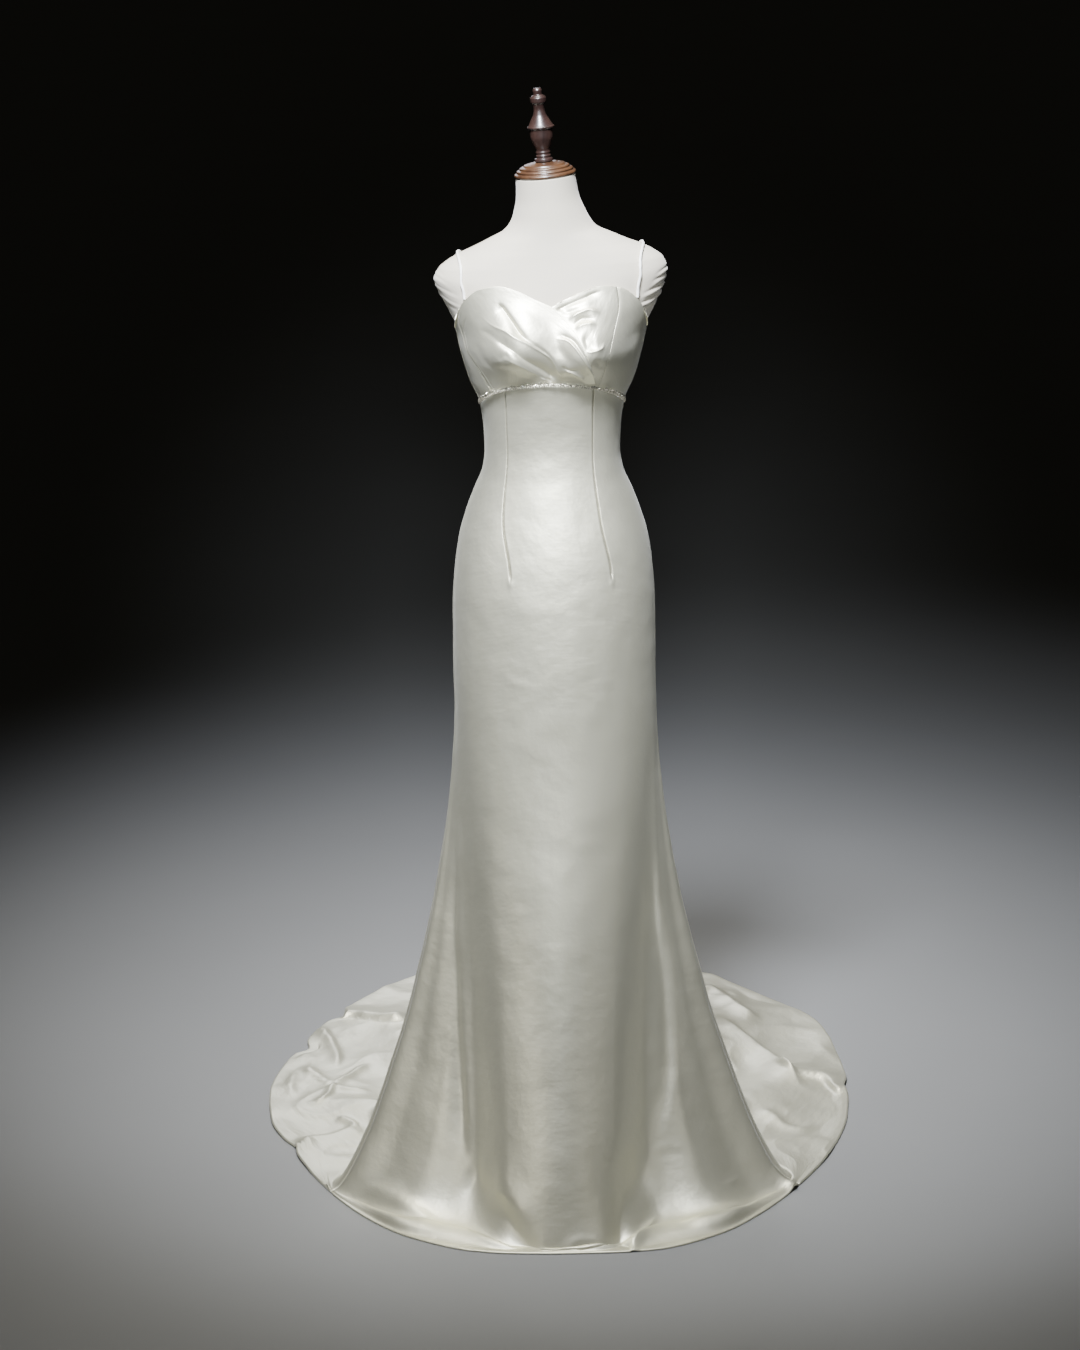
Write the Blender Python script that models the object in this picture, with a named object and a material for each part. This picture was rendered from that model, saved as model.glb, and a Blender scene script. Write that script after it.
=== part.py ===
"""Satin gown with a sweep train on a limbless dress form with a turned neck cap and a round stand.

Metres, +Z up. The origin is on the floor, under the stand's pole. The gown faces -Y, and +X is its
wearer's left. An angle round the body is 0 at the centre front, +90 at the wearer's left side seam
and 180 at the centre back.
"""

import math
from typing import NamedTuple

import bmesh
import bpy
import numpy as np
from mathutils import Euler, Vector

# ---- driving sizes ---------------------------------------------------------------------------
CLOTH = 0.0016  # the satin and its lining, as one wall
EASE = 0.0042  # from the form to the outer face of the cloth
SEAM = 0.0003  # what each piece is held back from a seam line
HIP_LINE = 0.800  # where the close-fitting part ends and the skirt begins to flare
DROP = 0.380  # how far below the hip line the flare is still upright
MEAN_REACH = 0.340  # from the pole to where the cloth lands, all round
FLARE = 0.005  # how far the upright part stands out, and what a fold's own reach adds to it
FLARE_SHARE = 0.15
NECK_ROOT = 1.570  # the neck leans from this height up
NECK_BLEND = 0.030
NECK_TOP = 1.645
NECK_LEAN = math.radians(4.8)  # towards the wearer's right
BUST_SPAN = 0.073  # from the centre line to each bust point
BUST_HEIGHT = 1.390
BUST_DEPTH = 0.047
BUST_ABOVE = 0.050  # how far the bust spreads above its point, below it, and across
BUST_BELOW = 0.040
FORM_SPREAD = 0.046
WORN_SPREAD = 0.056  # the cloth bridges the hollow between the breasts
SHOULDER_FROM = 1.440  # the shoulders tilt from this height, in full from the next
SHOULDER_FULL = 1.520
SHOULDER_TILT = 0.042  # the right shoulder hangs lower than the left, by this share of the width
SHOULDER_DROP = 0.005
STRAP_RADIUS = 0.0021
STRAP_GAP = 0.0008
POLE_RADIUS = 0.014
BASE_RADIUS = 0.165
BASE_THICK = 0.012
GAP = 0.0003  # between two hard pieces that touch

# ---- colours: (red, green, blue), roughness, metallic ----------------------------------------
SATIN = ((0.83, 0.82, 0.78), 0.38, 0.0)
BEADS = ((0.72, 0.71, 0.66), 0.18, 0.2)
JERSEY = ((0.80, 0.78, 0.74), 0.80, 0.0)
WOOD = ((0.20, 0.085, 0.04), 0.30, 0.0)
STEEL = ((0.60, 0.60, 0.61), 0.30, 1.0)
IRON = ((0.05, 0.05, 0.055), 0.45, 0.6)


class Section(NamedTuple):
    """One level of the general figure."""

    height: float
    half_width: float
    front: float
    back: float
    square: float  # how much the section fills its corners


FIGURE = (
    Section(1.645, 0.0455, 0.047, 0.049, 0.00),
    Section(1.616, 0.0480, 0.048, 0.054, 0.00),
    Section(1.590, 0.0560, 0.051, 0.063, 0.00),
    Section(1.569, 0.0720, 0.055, 0.071, 0.00),
    Section(1.556, 0.0980, 0.058, 0.076, 0.00),
    Section(1.546, 0.1200, 0.061, 0.080, 0.00),
    Section(1.537, 0.1420, 0.064, 0.084, 0.01),
    Section(1.528, 0.1590, 0.067, 0.088, 0.02),
    Section(1.517, 0.1730, 0.071, 0.091, 0.03),
    Section(1.500, 0.1800, 0.077, 0.095, 0.03),
    Section(1.475, 0.1740, 0.085, 0.099, 0.02),
    Section(1.441, 0.1585, 0.093, 0.101, 0.02),
    Section(1.409, 0.1435, 0.096, 0.100, 0.03),
    Section(1.385, 0.1385, 0.096, 0.098, 0.04),
    Section(1.334, 0.1240, 0.092, 0.092, 0.04),
    Section(1.296, 0.1080, 0.086, 0.087, 0.04),
    Section(1.250, 0.1025, 0.079, 0.080, 0.04),
    Section(1.222, 0.1015, 0.077, 0.079, 0.04),
    Section(1.189, 0.1060, 0.079, 0.084, 0.04),
    Section(1.157, 0.1195, 0.084, 0.094, 0.03),
    Section(1.123, 0.1325, 0.090, 0.105, 0.03),
    Section(1.084, 0.1435, 0.097, 0.115, 0.03),
    Section(1.041, 0.1505, 0.102, 0.122, 0.03),
    Section(0.978, 0.1555, 0.105, 0.126, 0.03),
    Section(0.916, 0.1560, 0.105, 0.123, 0.03),
    Section(0.800, 0.1565, 0.105, 0.119, 0.03),
)


class Edge(NamedTuple):
    """One point of a line round the bodice."""

    angle: float
    height: float


TOP_EDGE = (  # the sweetheart neckline, the armholes and the straight back
    Edge(0, 1.4590),
    Edge(8, 1.4695),
    Edge(16, 1.4810),
    Edge(25, 1.4880),
    Edge(35, 1.4835),
    Edge(47, 1.4665),
    Edge(65, 1.4335),
    Edge(90, 1.4050),
    Edge(125, 1.3900),
    Edge(180, 1.3850),
)
EMPIRE_SEAM = (
    Edge(0, 1.3425),
    Edge(18, 1.3390),
    Edge(30, 1.3335),
    Edge(46, 1.3225),
    Edge(58, 1.3130),
    Edge(90, 1.2960),
    Edge(180, 1.2960),
)
SEAM_RIGHT = (  # each cup's outer seam, from the empire seam up to the top edge
    Edge(46, 1.3225),
    Edge(50, 1.3450),
    Edge(57, 1.3710),
    Edge(64, 1.3900),
    Edge(66, 1.4180),
    Edge(55, 1.4520),
)
SEAM_LEFT = (
    Edge(32, 1.3325),
    Edge(34, 1.3550),
    Edge(36.5, 1.3900),
    Edge(38, 1.4150),
    Edge(37.5, 1.4450),
    Edge(33, 1.4850),
)
CROSS_OVER = (  # the right cup's free edge, from the neckline's dip down over the left cup
    Edge(0.5, 1.4585),
    Edge(8, 1.4369),
    Edge(16, 1.4137),
    Edge(21, 1.3890),
    Edge(25.5, 1.3640),
    Edge(29.5, 1.3335),
)


class Fold(NamedTuple):
    """One fold line of the skirt, from the hip line down to the floor and out to the hem."""

    body_angle: float  # where it leaves the hip line
    floor_angle: float  # the direction in which it lands
    reach: float  # from the pole to where it lands
    lift: float  # how far it stays off the floor there
    bend: float  # the length over which it turns from falling to lying
    rise: float  # the height at which that turn begins
    hem_x: float
    hem_y: float


FOLDS = (
    Fold(-180, -180, 0.460, 0.022, 0.100, 0.000, 0.000, 0.975),
    Fold(-166, -169, 0.385, 0.000, 0.085, 0.000, -0.205, 0.900),
    Fold(-150, -155, 0.450, 0.022, 0.095, 0.000, -0.365, 0.735),
    Fold(-134, -139, 0.350, 0.000, 0.075, 0.000, -0.452, 0.545),
    Fold(-119, -124, 0.385, 0.012, 0.080, 0.000, -0.503, 0.310),
    Fold(-108, -110, 0.340, 0.004, 0.065, 0.000, -0.492, 0.185),
    Fold(-97, -96, 0.305, 0.000, 0.050, 0.000, -0.452, 0.075),
    Fold(-85, -76, 0.386, 0.004, 0.042, 0.000, -0.382, -0.090),
    Fold(-79, -64, 0.355, 0.000, 0.070, 0.000, -0.316, -0.196),
    Fold(-74, -51, 0.342, 0.004, 0.105, 0.000, -0.250, -0.266),
    Fold(-65, -35, 0.298, 0.000, 0.090, 0.000, -0.158, -0.319),
    Fold(-34, -15, 0.321, 0.000, 0.040, 0.050, -0.078, -0.333),
    Fold(0, 0, 0.326, 0.000, 0.014, 0.080, 0.000, -0.336),
    Fold(34, 15, 0.321, 0.000, 0.040, 0.050, 0.080, -0.334),
    Fold(65, 35, 0.296, 0.000, 0.090, 0.000, 0.164, -0.323),
    Fold(74, 51, 0.348, 0.005, 0.105, 0.000, 0.256, -0.270),
    Fold(79, 64, 0.355, 0.000, 0.070, 0.000, 0.328, -0.190),
    Fold(85, 77, 0.390, 0.004, 0.042, 0.000, 0.396, -0.083),
    Fold(97, 96, 0.305, 0.000, 0.050, 0.000, 0.456, 0.045),
    Fold(108, 111, 0.345, 0.004, 0.065, 0.000, 0.493, 0.185),
    Fold(119, 126, 0.395, 0.014, 0.080, 0.000, 0.505, 0.335),
    Fold(134, 141, 0.360, 0.000, 0.075, 0.000, 0.480, 0.575),
    Fold(150, 156, 0.450, 0.022, 0.095, 0.000, 0.380, 0.735),
    Fold(166, 169, 0.390, 0.000, 0.085, 0.000, 0.205, 0.905),
    Fold(180, 180, 0.460, 0.022, 0.100, 0.000, 0.000, 0.975),
)
SIDE_SEAM = 82.5  # degrees, just before the side ridge


class Pleat(NamedTuple):
    """One soft pleat of a cup, along a line of its fan."""

    line: float  # the share of the fan at which it lies
    width: float
    height: float


RIGHT_PLEATS = (
    Pleat(0.22, 0.045, 0.0020),
    Pleat(0.36, 0.045, 0.0032),
    Pleat(0.49, 0.040, 0.0040),
    Pleat(0.63, 0.045, 0.0030),
    Pleat(0.76, 0.040, 0.0030),
    Pleat(0.90, 0.035, 0.0026),
)
LEFT_PLEATS = (
    Pleat(0.20, 0.050, 0.0024),
    Pleat(0.38, 0.055, 0.0030),
    Pleat(0.60, 0.060, 0.0026),
)
UNDERLAP = 4.0  # degrees by which the left cup runs on under the right one
OVERLAP_LIFT = 0.0034  # the right cup's face there, above the left cup's

# height above the cap's underside or the finial's foot, and radius
CAP_PROFILE = (
    (0.000, 0.0440),
    (0.0020, 0.0468),
    (0.0045, 0.0475),
    (0.0075, 0.0468),
    (0.0095, 0.0425),
    (0.0115, 0.0405),
    (0.0145, 0.0365),
    (0.0170, 0.0300),
    (0.0185, 0.0255),
    (0.0205, 0.0225),
    (0.0215, 0.0180),
)
FINIAL_PROFILE = (
    (0.000, 0.0125),
    (0.0015, 0.0142),
    (0.0045, 0.0140),
    (0.0065, 0.0108),
    (0.0095, 0.0118),
    (0.0115, 0.0102),
    (0.0145, 0.0112),
    (0.0170, 0.0104),
    (0.0260, 0.0138),
    (0.0380, 0.0174),
    (0.0500, 0.0188),
    (0.0525, 0.0194),
    (0.0550, 0.0186),
    (0.0640, 0.0142),
    (0.0720, 0.0100),
    (0.0800, 0.0083),
    (0.0860, 0.0092),
    (0.0915, 0.0122),
    (0.0965, 0.0124),
    (0.1000, 0.0098),
    (0.1025, 0.0066),
    (0.1080, 0.0072),
    (0.1115, 0.0056),
)


class Curve:
    """A smooth line through given values that doesn't swing past any of them."""

    def __init__(self, places, values):
        self.x = np.array(places, float)
        self.y = np.array(values, float)
        step = np.diff(self.x)
        rise = np.diff(self.y) / step
        slope = np.zeros(len(self.x))
        same_way = rise[:-1] * rise[1:] > 0
        before = 2 * step[1:] + step[:-1]
        after = step[1:] + 2 * step[:-1]
        inner = np.zeros(len(rise) - 1)
        inner[same_way] = (before + after)[same_way] / (
            before[same_way] / rise[:-1][same_way] + after[same_way] / rise[1:][same_way]
        )
        slope[1:-1] = inner
        slope[0], slope[-1] = rise[0], rise[-1]
        self.slope = slope

    def __call__(self, place):
        place = min(max(place, self.x[0]), self.x[-1])
        i = min(int(np.searchsorted(self.x, place, side="right")) - 1, len(self.x) - 2)
        h = self.x[i + 1] - self.x[i]
        t = (place - self.x[i]) / h
        keep = 2 * t**3 - 3 * t**2 + 1
        lead = t**3 - 2 * t**2 + t
        trail = t**3 - t**2
        return float(
            keep * self.y[i]
            + lead * h * self.slope[i]
            + (1 - keep) * self.y[i + 1]
            + trail * h * self.slope[i + 1]
        )


def column(rows, place, value):
    """The curve of one named column of a table over another."""
    ordered = sorted(rows, key=lambda row: getattr(row, place))
    return Curve([getattr(r, place) for r in ordered], [getattr(r, value) for r in ordered])


def ring_of(folds, value, turns):
    """The same for the folds, closed round the body. An angle grows by a full turn each time round."""
    before = [f for f in folds if f.body_angle > 90 and f.body_angle < 180]
    after = [f for f in folds if f.body_angle < -90 and f.body_angle > -180]
    places = [f.body_angle - 360 for f in before] + [f.body_angle for f in folds]
    places += [f.body_angle + 360 for f in after]
    values = [getattr(f, value) - turns for f in before] + [getattr(f, value) for f in folds]
    values += [getattr(f, value) + turns for f in after]
    return Curve(places, values)


HALF_WIDTH = column(FIGURE, "height", "half_width")
FRONT = column(FIGURE, "height", "front")
BACK = column(FIGURE, "height", "back")
SQUARE = column(FIGURE, "height", "square")
TOP = column(TOP_EDGE, "angle", "height")
EMPIRE = column(EMPIRE_SEAM, "angle", "height")
FLOOR_ANGLE = ring_of(FOLDS, "floor_angle", 360)
REACH = ring_of(FOLDS, "reach", 0)
LIFT = ring_of(FOLDS, "lift", 0)
BEND = ring_of(FOLDS, "bend", 0)
RISE = ring_of(FOLDS, "rise", 0)
HEM_X = ring_of(FOLDS, "hem_x", 0)
HEM_Y = ring_of(FOLDS, "hem_y", 0)


def ease_in(t):
    """From 0 to 1 with a level start and end."""
    t = min(max(t, 0.0), 1.0)
    return t * t * (3 - 2 * t)


def bell(distance, width):
    return math.exp(-((distance / width) ** 2))


def bust(angle, x, height, spread):
    """How far the bust stands out in front of the chest."""
    if abs(angle) >= 90:
        return 0.0
    tall = BUST_ABOVE if height > BUST_HEIGHT else BUST_BELOW
    across = bell(x - BUST_SPAN, spread) + bell(x + BUST_SPAN, spread)
    front = math.cos(math.radians(angle)) ** 2
    return BUST_DEPTH * front * across * bell(height - BUST_HEIGHT, tall)


def level(angle, height, ease, spread):
    """A point of the figure's section at a height, let out by an ease."""
    turn = math.radians(angle)
    corner = 1 + SQUARE(height) * math.sin(2 * turn) ** 2
    x = (HALF_WIDTH(height) + ease) * math.sin(turn) * corner
    depth = FRONT(height) if math.cos(turn) > 0 else BACK(height)
    y = -(depth + ease) * math.cos(turn) * corner
    return Vector((x, y - bust(angle, x, height, spread), height))


def form_point(angle, height):
    """The dress form's surface, with the neck's lean."""
    point = level(angle, height, 0.0, FORM_SPREAD)
    share = ease_in((height - SHOULDER_FROM) / (SHOULDER_FULL - SHOULDER_FROM))
    point.z += share * (SHOULDER_TILT * point.x - SHOULDER_DROP) * (1 - neck_share(height))
    return leaned(point, neck_share(height))


def neck_share(height):
    """0 on the shoulders and 1 on the neck."""
    return ease_in((height - NECK_ROOT) / NECK_BLEND)


def leaned(point, share=1.0):
    """A point turned with the neck's lean."""
    pivot = Vector((0, 0, NECK_ROOT))
    return pivot + Euler((0, -NECK_LEAN * share, 0)).to_matrix() @ (point - pivot)


def worn_point(angle, height):
    """The outer face of the cloth above the hip line."""
    return level(angle, height, EASE, WORN_SPREAD)


def on_floor(angle, reach):
    turn = math.radians(angle)
    return Vector((reach * math.sin(turn), -reach * math.cos(turn), 0))


def skirt_point(angle, s):
    """The outer face of the skirt.

    s runs 0 to 1 from the empire seam to the hip line, 1 to 2 down to the floor, 2 to 3 out to the hem.
    """
    if s <= 1:
        top = EMPIRE(abs(angle)) - SEAM
        return worn_point(angle, top + (HIP_LINE - top) * s)
    reach, lift = REACH(angle), LIFT(angle)
    way = on_floor(FLOOR_ANGLE(angle), 1.0)
    landing = way * reach + Vector((0, 0, CLOTH + lift))
    if s <= 2:
        t = s - 1
        hip = worn_point(angle, HIP_LINE)
        out = hip.xy.to_3d().normalized()
        upright = hip - Vector((0, 0, DROP)) + out * (FLARE + FLARE_SHARE * (reach - MEAN_REACH))
        turning = landing - way * BEND(angle) + Vector((0, 0, RISE(angle)))
        return (
            hip * (1 - t) ** 3
            + upright * (3 * t * (1 - t) ** 2)
            + turning * (3 * t * t * (1 - t))
            + landing * t**3
        )
    w = s - 2
    hem = Vector((HEM_X(angle), HEM_Y(angle), 0))
    point = landing.xy.to_3d().lerp(hem, w)
    point.z = CLOTH + lift * (1 - ease_in(w))
    return point


def back_point(angle, s):
    """The outer face of a back panel: the skirt's, and from s = -1 to 0 the bodice above it."""
    if s >= 0:
        return skirt_point(angle, s)
    return worn_point(angle, EMPIRE(90) + (TOP(abs(angle)) - EMPIRE(90)) * -s)


def normal_at(surface, a, b, step_a, step_b):
    """The outward normal of surface(a, b), by small steps along both."""
    along = surface(a + step_a, b) - surface(a - step_a, b)
    down = surface(a, b + step_b) - surface(a, b - step_b)
    return down.cross(along).normalized()


# ---- meshes ----------------------------------------------------------------------------------
def material(name, look):
    found = bpy.data.materials.get(name)
    if found:
        return found
    made = bpy.data.materials.new(name)
    made.use_nodes = True
    shader = made.node_tree.nodes["Principled BSDF"]
    (red, green, blue), rough, metal = look
    shader.inputs["Base Color"].default_value = (red, green, blue, 1)
    shader.inputs["Roughness"].default_value = rough
    shader.inputs["Metallic"].default_value = metal
    return made


def add(name, bm, slot, look):
    """Makes an object of a closed mesh, with its faces pointing out."""
    bmesh.ops.recalc_face_normals(bm, faces=bm.faces)
    if bm.calc_volume(signed=True) < 0:
        bmesh.ops.reverse_faces(bm, faces=bm.faces)
    mesh = bpy.data.meshes.new(name)
    bm.to_mesh(mesh)
    bm.free()
    mesh.materials.append(material(slot, look))
    mesh.shade_smooth()
    mesh.set_sharp_from_angle(angle=math.radians(35))
    made = bpy.data.objects.new(name, mesh)
    bpy.context.scene.collection.objects.link(made)
    return made


def wall(name, outer, normals, thick, slot, look):
    """A closed wall: a grid of points on its outer face, and the same points moved in."""
    rows, columns = len(outer), len(outer[0])
    bm = bmesh.new()
    faces = [
        [[bm.verts.new(p - n * depth) for p, n in zip(points, ways, strict=True)]
         for points, ways in zip(outer, normals, strict=True)]
        for depth in (0.0, thick)
    ]
    for i in range(rows - 1):
        for j in range(columns - 1):
            for face in faces:
                bm.faces.new((face[i][j], face[i][j + 1], face[i + 1][j + 1], face[i + 1][j]))
    rim = [(0, j) for j in range(columns)] + [(i, columns - 1) for i in range(1, rows)]
    rim += [(rows - 1, j) for j in range(columns - 2, -1, -1)]
    rim += [(i, 0) for i in range(rows - 2, 0, -1)]
    for (i, j), (k, m) in zip(rim, rim[1:] + rim[:1], strict=True):
        bm.faces.new((faces[0][i][j], faces[0][k][m], faces[1][k][m], faces[1][i][j]))
    return add(name, bm, slot, look)


def hold_back(points, first, last):
    """Moves a row's ends off the seam lines that it shares with its neighbours."""
    if first:
        points[0] = points[0] + (points[1] - points[0]).normalized() * SEAM
    if last:
        points[-1] = points[-1] + (points[-2] - points[-1]).normalized() * SEAM
    return points


def panel(name, surface, angles, stations):
    """A cloth panel on a surface of angle and station, held back from its two seams."""
    outer, normals = [], []
    for s in stations:
        outer.append(hold_back([surface(a, s) for a in angles], True, True))
        normals.append([normal_at(surface, a, s, 0.05, 0.002) for a in angles])
    return wall(name, outer, normals, CLOTH, "satin", SATIN)


def spaced(start, end, count):
    return [start + (end - start) * i / count for i in range(count + 1)]


def between_folds(low, high):
    """Angles at each fold line from low to high, with others evenly between them."""
    lines = [low] + [f.body_angle for f in FOLDS if low + 4 < f.body_angle < high - 4] + [high]
    found = [lines[0]]
    for a, b in zip(lines, lines[1:], strict=False):
        found += spaced(a, b, max(2, round((b - a) / 8)))[1:]
    return found


# ---- the gown's pieces -----------------------------------------------------------------------
CLOSE_STATIONS = spaced(0, 1, 13)
FALL_STATIONS = [1.12, 1.24, 1.36, 1.48, 1.58, 1.67, 1.75, 1.82, 1.88, 1.94, 2.0]
FLOOR_STATIONS = [2.25, 2.5, 2.75, 3.0]
SKIRT_STATIONS = CLOSE_STATIONS + FALL_STATIONS + FLOOR_STATIONS
BACK_STATIONS = [-1, -0.66, -0.33] + SKIRT_STATIONS


def build_skirt():
    panel("front_panel", skirt_point, between_folds(-SIDE_SEAM, SIDE_SEAM), SKIRT_STATIONS)
    half = [SIDE_SEAM, 86, 90, 94] + between_folds(99, 180)
    panel("back_panel_left", back_point, half, BACK_STATIONS)
    panel("back_panel_right", back_point, [-a for a in reversed(half)], BACK_STATIONS)


def along(edges, share):
    """(angle, height) at a share of the way along a line of edge points."""
    place = Curve(range(len(edges)), [e.angle for e in edges])
    height = Curve(range(len(edges)), [e.height for e in edges])
    at = share * (len(edges) - 1)
    return place(at), height(at)


def above_seam(angle, height):
    """A height kept clear of the empire seam and the top edge."""
    return min(max(height, EMPIRE(abs(angle)) + SEAM * 2), TOP(abs(angle)))


def cup_pleats(pleats, u, v):
    """The pleats' height: deepest in the middle of each, and nothing at the seams."""
    fade = math.sin(math.pi * min(max(v, 0), 1)) ** 0.7
    return fade * sum(p.height * bell(u - p.line, p.width) for p in pleats)


def outer_line(side, seam, turn, u):
    """A cup's outer border: up its seam to the share u = turn, then along the neckline to the dip."""
    if u <= turn:
        angle, height = along(seam, u / turn)
    else:
        angle = seam[-1].angle * (1 - (u - turn) / (1 - turn))
        height = TOP(angle)
    if u == turn:
        height = TOP(angle)
    return side * angle, height


RIGHT_TURN = 0.48
LEFT_TURN = 0.80
LOWER_SHARE = Curve((0, 0.25, 0.5, 0.75, 1), (0, 0.48, 0.69, 0.83, 1))


def right_cup_place(u, v):
    """(angle, height, lift) of the right cup, whose free edge crosses over the left one."""
    a, h = outer_line(-1, SEAM_RIGHT, RIGHT_TURN, u)
    first, last = -SEAM_RIGHT[0].angle + 3, CROSS_OVER[-1].angle
    b = first + (last - first) * LOWER_SHARE(u)
    k = EMPIRE(abs(b))
    angle, height = a + (b - a) * v, h + (k - h) * v
    free_angle, free_height = along(CROSS_OVER, v)
    near = ease_in((u - 0.55) / 0.45)
    start, end = CROSS_OVER[0], CROSS_OVER[-1]
    angle += near * (free_angle - start.angle * (1 - v) - end.angle * v)
    height += near * (free_height - start.height * (1 - v) - end.height * v)
    lift = OVERLAP_LIFT * ease_in((u - 0.50) / 0.28)
    if u == 0 or v == 1:
        height = EMPIRE(abs(angle)) + SEAM * 2
    if v == 0 and u >= RIGHT_TURN:
        height = TOP(abs(angle))
    return angle, above_seam(angle, height), lift + cup_pleats(RIGHT_PLEATS, u, v)


def left_cup_place(u, v):
    """(angle, height, lift) of the left cup, from its tucked edge out to its seam."""
    a, h = along(CROSS_OVER, u)
    a, h = a - UNDERLAP, h - 0.002 * (1 - u)
    corner = 0.03 * max(0, 1 - u / (1 - LEFT_TURN))
    b, k = outer_line(1, SEAM_LEFT, LEFT_TURN, 1 - u - corner)
    angle, height = a + (b - a) * v, h + (k - h) * v
    if u == 1:
        height = EMPIRE(abs(angle)) + SEAM * 2
    near = ease_in((v - 0.30) / 0.2)
    return angle, above_seam(angle, height), near * cup_pleats(LEFT_PLEATS, u, v)


def cup(name, place, rows, across, seam_first):
    """A pleated cup, as a wall on the worn surface."""
    outer, normals = [], []
    for u in rows:
        places = [place(u, v) for v in spaced(0, 1, across)]
        ways = [normal_at(worn_point, a, h, 0.05, -0.0005) for a, h, _ in places]
        points = [worn_point(a, h) + n * r for (a, h, r), n in zip(places, ways, strict=True)]
        outer.append(hold_back(points, seam_first, not seam_first))
        normals.append(ways)
    wall(name, outer, normals, CLOTH, "satin", SATIN)


def side_bust(name, side, seam, rows):
    """The plain panel between a cup's outer seam and the side seam."""
    outer, normals = [], []
    for share in spaced(0, 1, rows):
        a, h = along(seam, share)
        bottom, top = EMPIRE(SIDE_SEAM) + SEAM * 2, TOP(SIDE_SEAM)
        end = bottom + (top - bottom) * share
        places = [(a + (SIDE_SEAM - a) * t, h + (end - h) * t) for t in spaced(0, 1, 5)]
        if share == 0:
            places = [(q, EMPIRE(q) + SEAM * 2) for q, _ in places]
        if share == 1:
            places = [(q, TOP(q)) for q, _ in places]
        points = [worn_point(side * q, z) for q, z in places]
        outer.append(hold_back(points, True, True))
        normals.append([normal_at(worn_point, side * q, z, 0.05, -0.0005) for q, z in places])
    wall(name, outer, normals, CLOTH, "satin", SATIN)


def build_bodice():
    right_rows, left_rows = 12, 9  # along each cup's outer seam
    rows = spaced(0, RIGHT_TURN, right_rows) + spaced(RIGHT_TURN, 1, 14)[1:]
    cup("cup_right", right_cup_place, rows, 8, True)
    dip = 1 - LEFT_TURN
    rows = spaced(0, dip, 6) + spaced(dip, 1, left_rows)[1:]
    cup("cup_left", left_cup_place, rows, 7, False)
    side_bust("side_bust_right", -1, SEAM_RIGHT, right_rows)
    side_bust("side_bust_left", 1, SEAM_LEFT, left_rows)


BAND_HEIGHT = 0.0066
BAND_THICK = 0.0016
BAND_GAP = 0.0009


def band_lift(angle):
    """How far the trim stands off the worn surface, so that it clears the crossed cups."""
    over = ease_in((angle + 8) / 10) * (1 - ease_in((angle - 31) / 12))
    return BAND_GAP + OVERLAP_LIFT * over


def build_band():
    """The beaded trim: a flat strip moved out from the points of the empire seam."""
    outer, normals = [], []
    for share in (1, 0.5, 0):
        angles = spaced(-SIDE_SEAM + 0.3, SIDE_SEAM - 0.3, 38)
        row, ways = [], []
        for a in angles:
            height = EMPIRE(abs(a)) + BAND_HEIGHT * (share - 0.5)
            n = normal_at(worn_point, a, height, 0.05, -0.0005)
            row.append(worn_point(a, height) + n * (band_lift(a) + BAND_THICK))
            ways.append(n)
        outer.append(row)
        normals.append(ways)
    wall("bead_band", outer, normals, BAND_THICK, "beads", BEADS)


# ---- straps ----------------------------------------------------------------------------------
STRAP_FRONT = 0.127  # how far out each end and the top of a strap lies
STRAP_TOP = 0.1415


def rod(name, path, radii, sides, slot, look):
    """A round rod along a path, closed at both ends."""
    bm = bmesh.new()
    rings = []
    for i, centre in enumerate(path):
        way = (path[min(i + 1, len(path) - 1)] - path[max(i - 1, 0)]).normalized()
        flat = way.cross(Vector((1, 0, 0))).normalized()
        other = way.cross(flat)
        turns = [math.tau * k / sides for k in range(sides)]
        ring = [centre + (flat * math.cos(t) + other * math.sin(t)) * radii[i] for t in turns]
        rings.append([bm.verts.new(p) for p in ring])
    for low, high in zip(rings, rings[1:], strict=False):
        for k in range(sides):
            m = (k + 1) % sides
            bm.faces.new((low[k], low[m], high[m], high[k]))
    bm.faces.new(rings[0])
    bm.faces.new(rings[-1])
    return add(name, bm, slot, look)


def height_where(x, angle, low, high):
    """The height between low and high at which the form's section reaches x at an angle."""
    for _ in range(40):
        middle = (low + high) / 2
        if level(angle, middle, 0.0, FORM_SPREAD).x > x:
            low = middle
        else:
            high = middle
    return (low + high) / 2


def strap_end(angle, clear):
    """Where a strap meets the middle of the bodice's top edge, just clear of it."""
    height = TOP(abs(angle))
    n = normal_at(worn_point, angle, height, 0.05, -0.0005)
    return worn_point(angle, height) - n * (CLOTH / 2) + Vector((0, 0, clear))


def strap_path(side):
    """From the front top edge over the shoulder to the back top edge, just off the form."""
    stops = [(47.3, 1.478), (46.6, 1.489), (47.0, 1.500)]
    stops += [(a, None) for a in (50, 55, 62, 71, 82, 93, 103, 112, 120, 126, 131)]
    stops += [(134.5, 1.493), (137, 1.478), (138.5, 1.458), (139, 1.436), (138.3, 1.414)]
    path = [strap_end(side * 48.3, 0.0018)]
    for angle, height in stops:
        if height is None:
            x = STRAP_FRONT + (STRAP_TOP - STRAP_FRONT) * math.sin(math.radians(angle)) ** 2
            height = height_where(x, angle, 1.500, 1.560)
        n = normal_at(form_point, side * angle, height, 0.05, -0.0005)
        path.append(form_point(side * angle, height) + n * (STRAP_RADIUS + STRAP_GAP))
    path.append(strap_end(side * 137.2, 0.0007))
    return path


def build_straps():
    for name, side in (("strap_right", -1), ("strap_left", 1)):
        path = strap_path(side)
        radii = [STRAP_RADIUS] * len(path)
        rod(name, path, radii, 8, "satin", SATIN)


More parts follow.
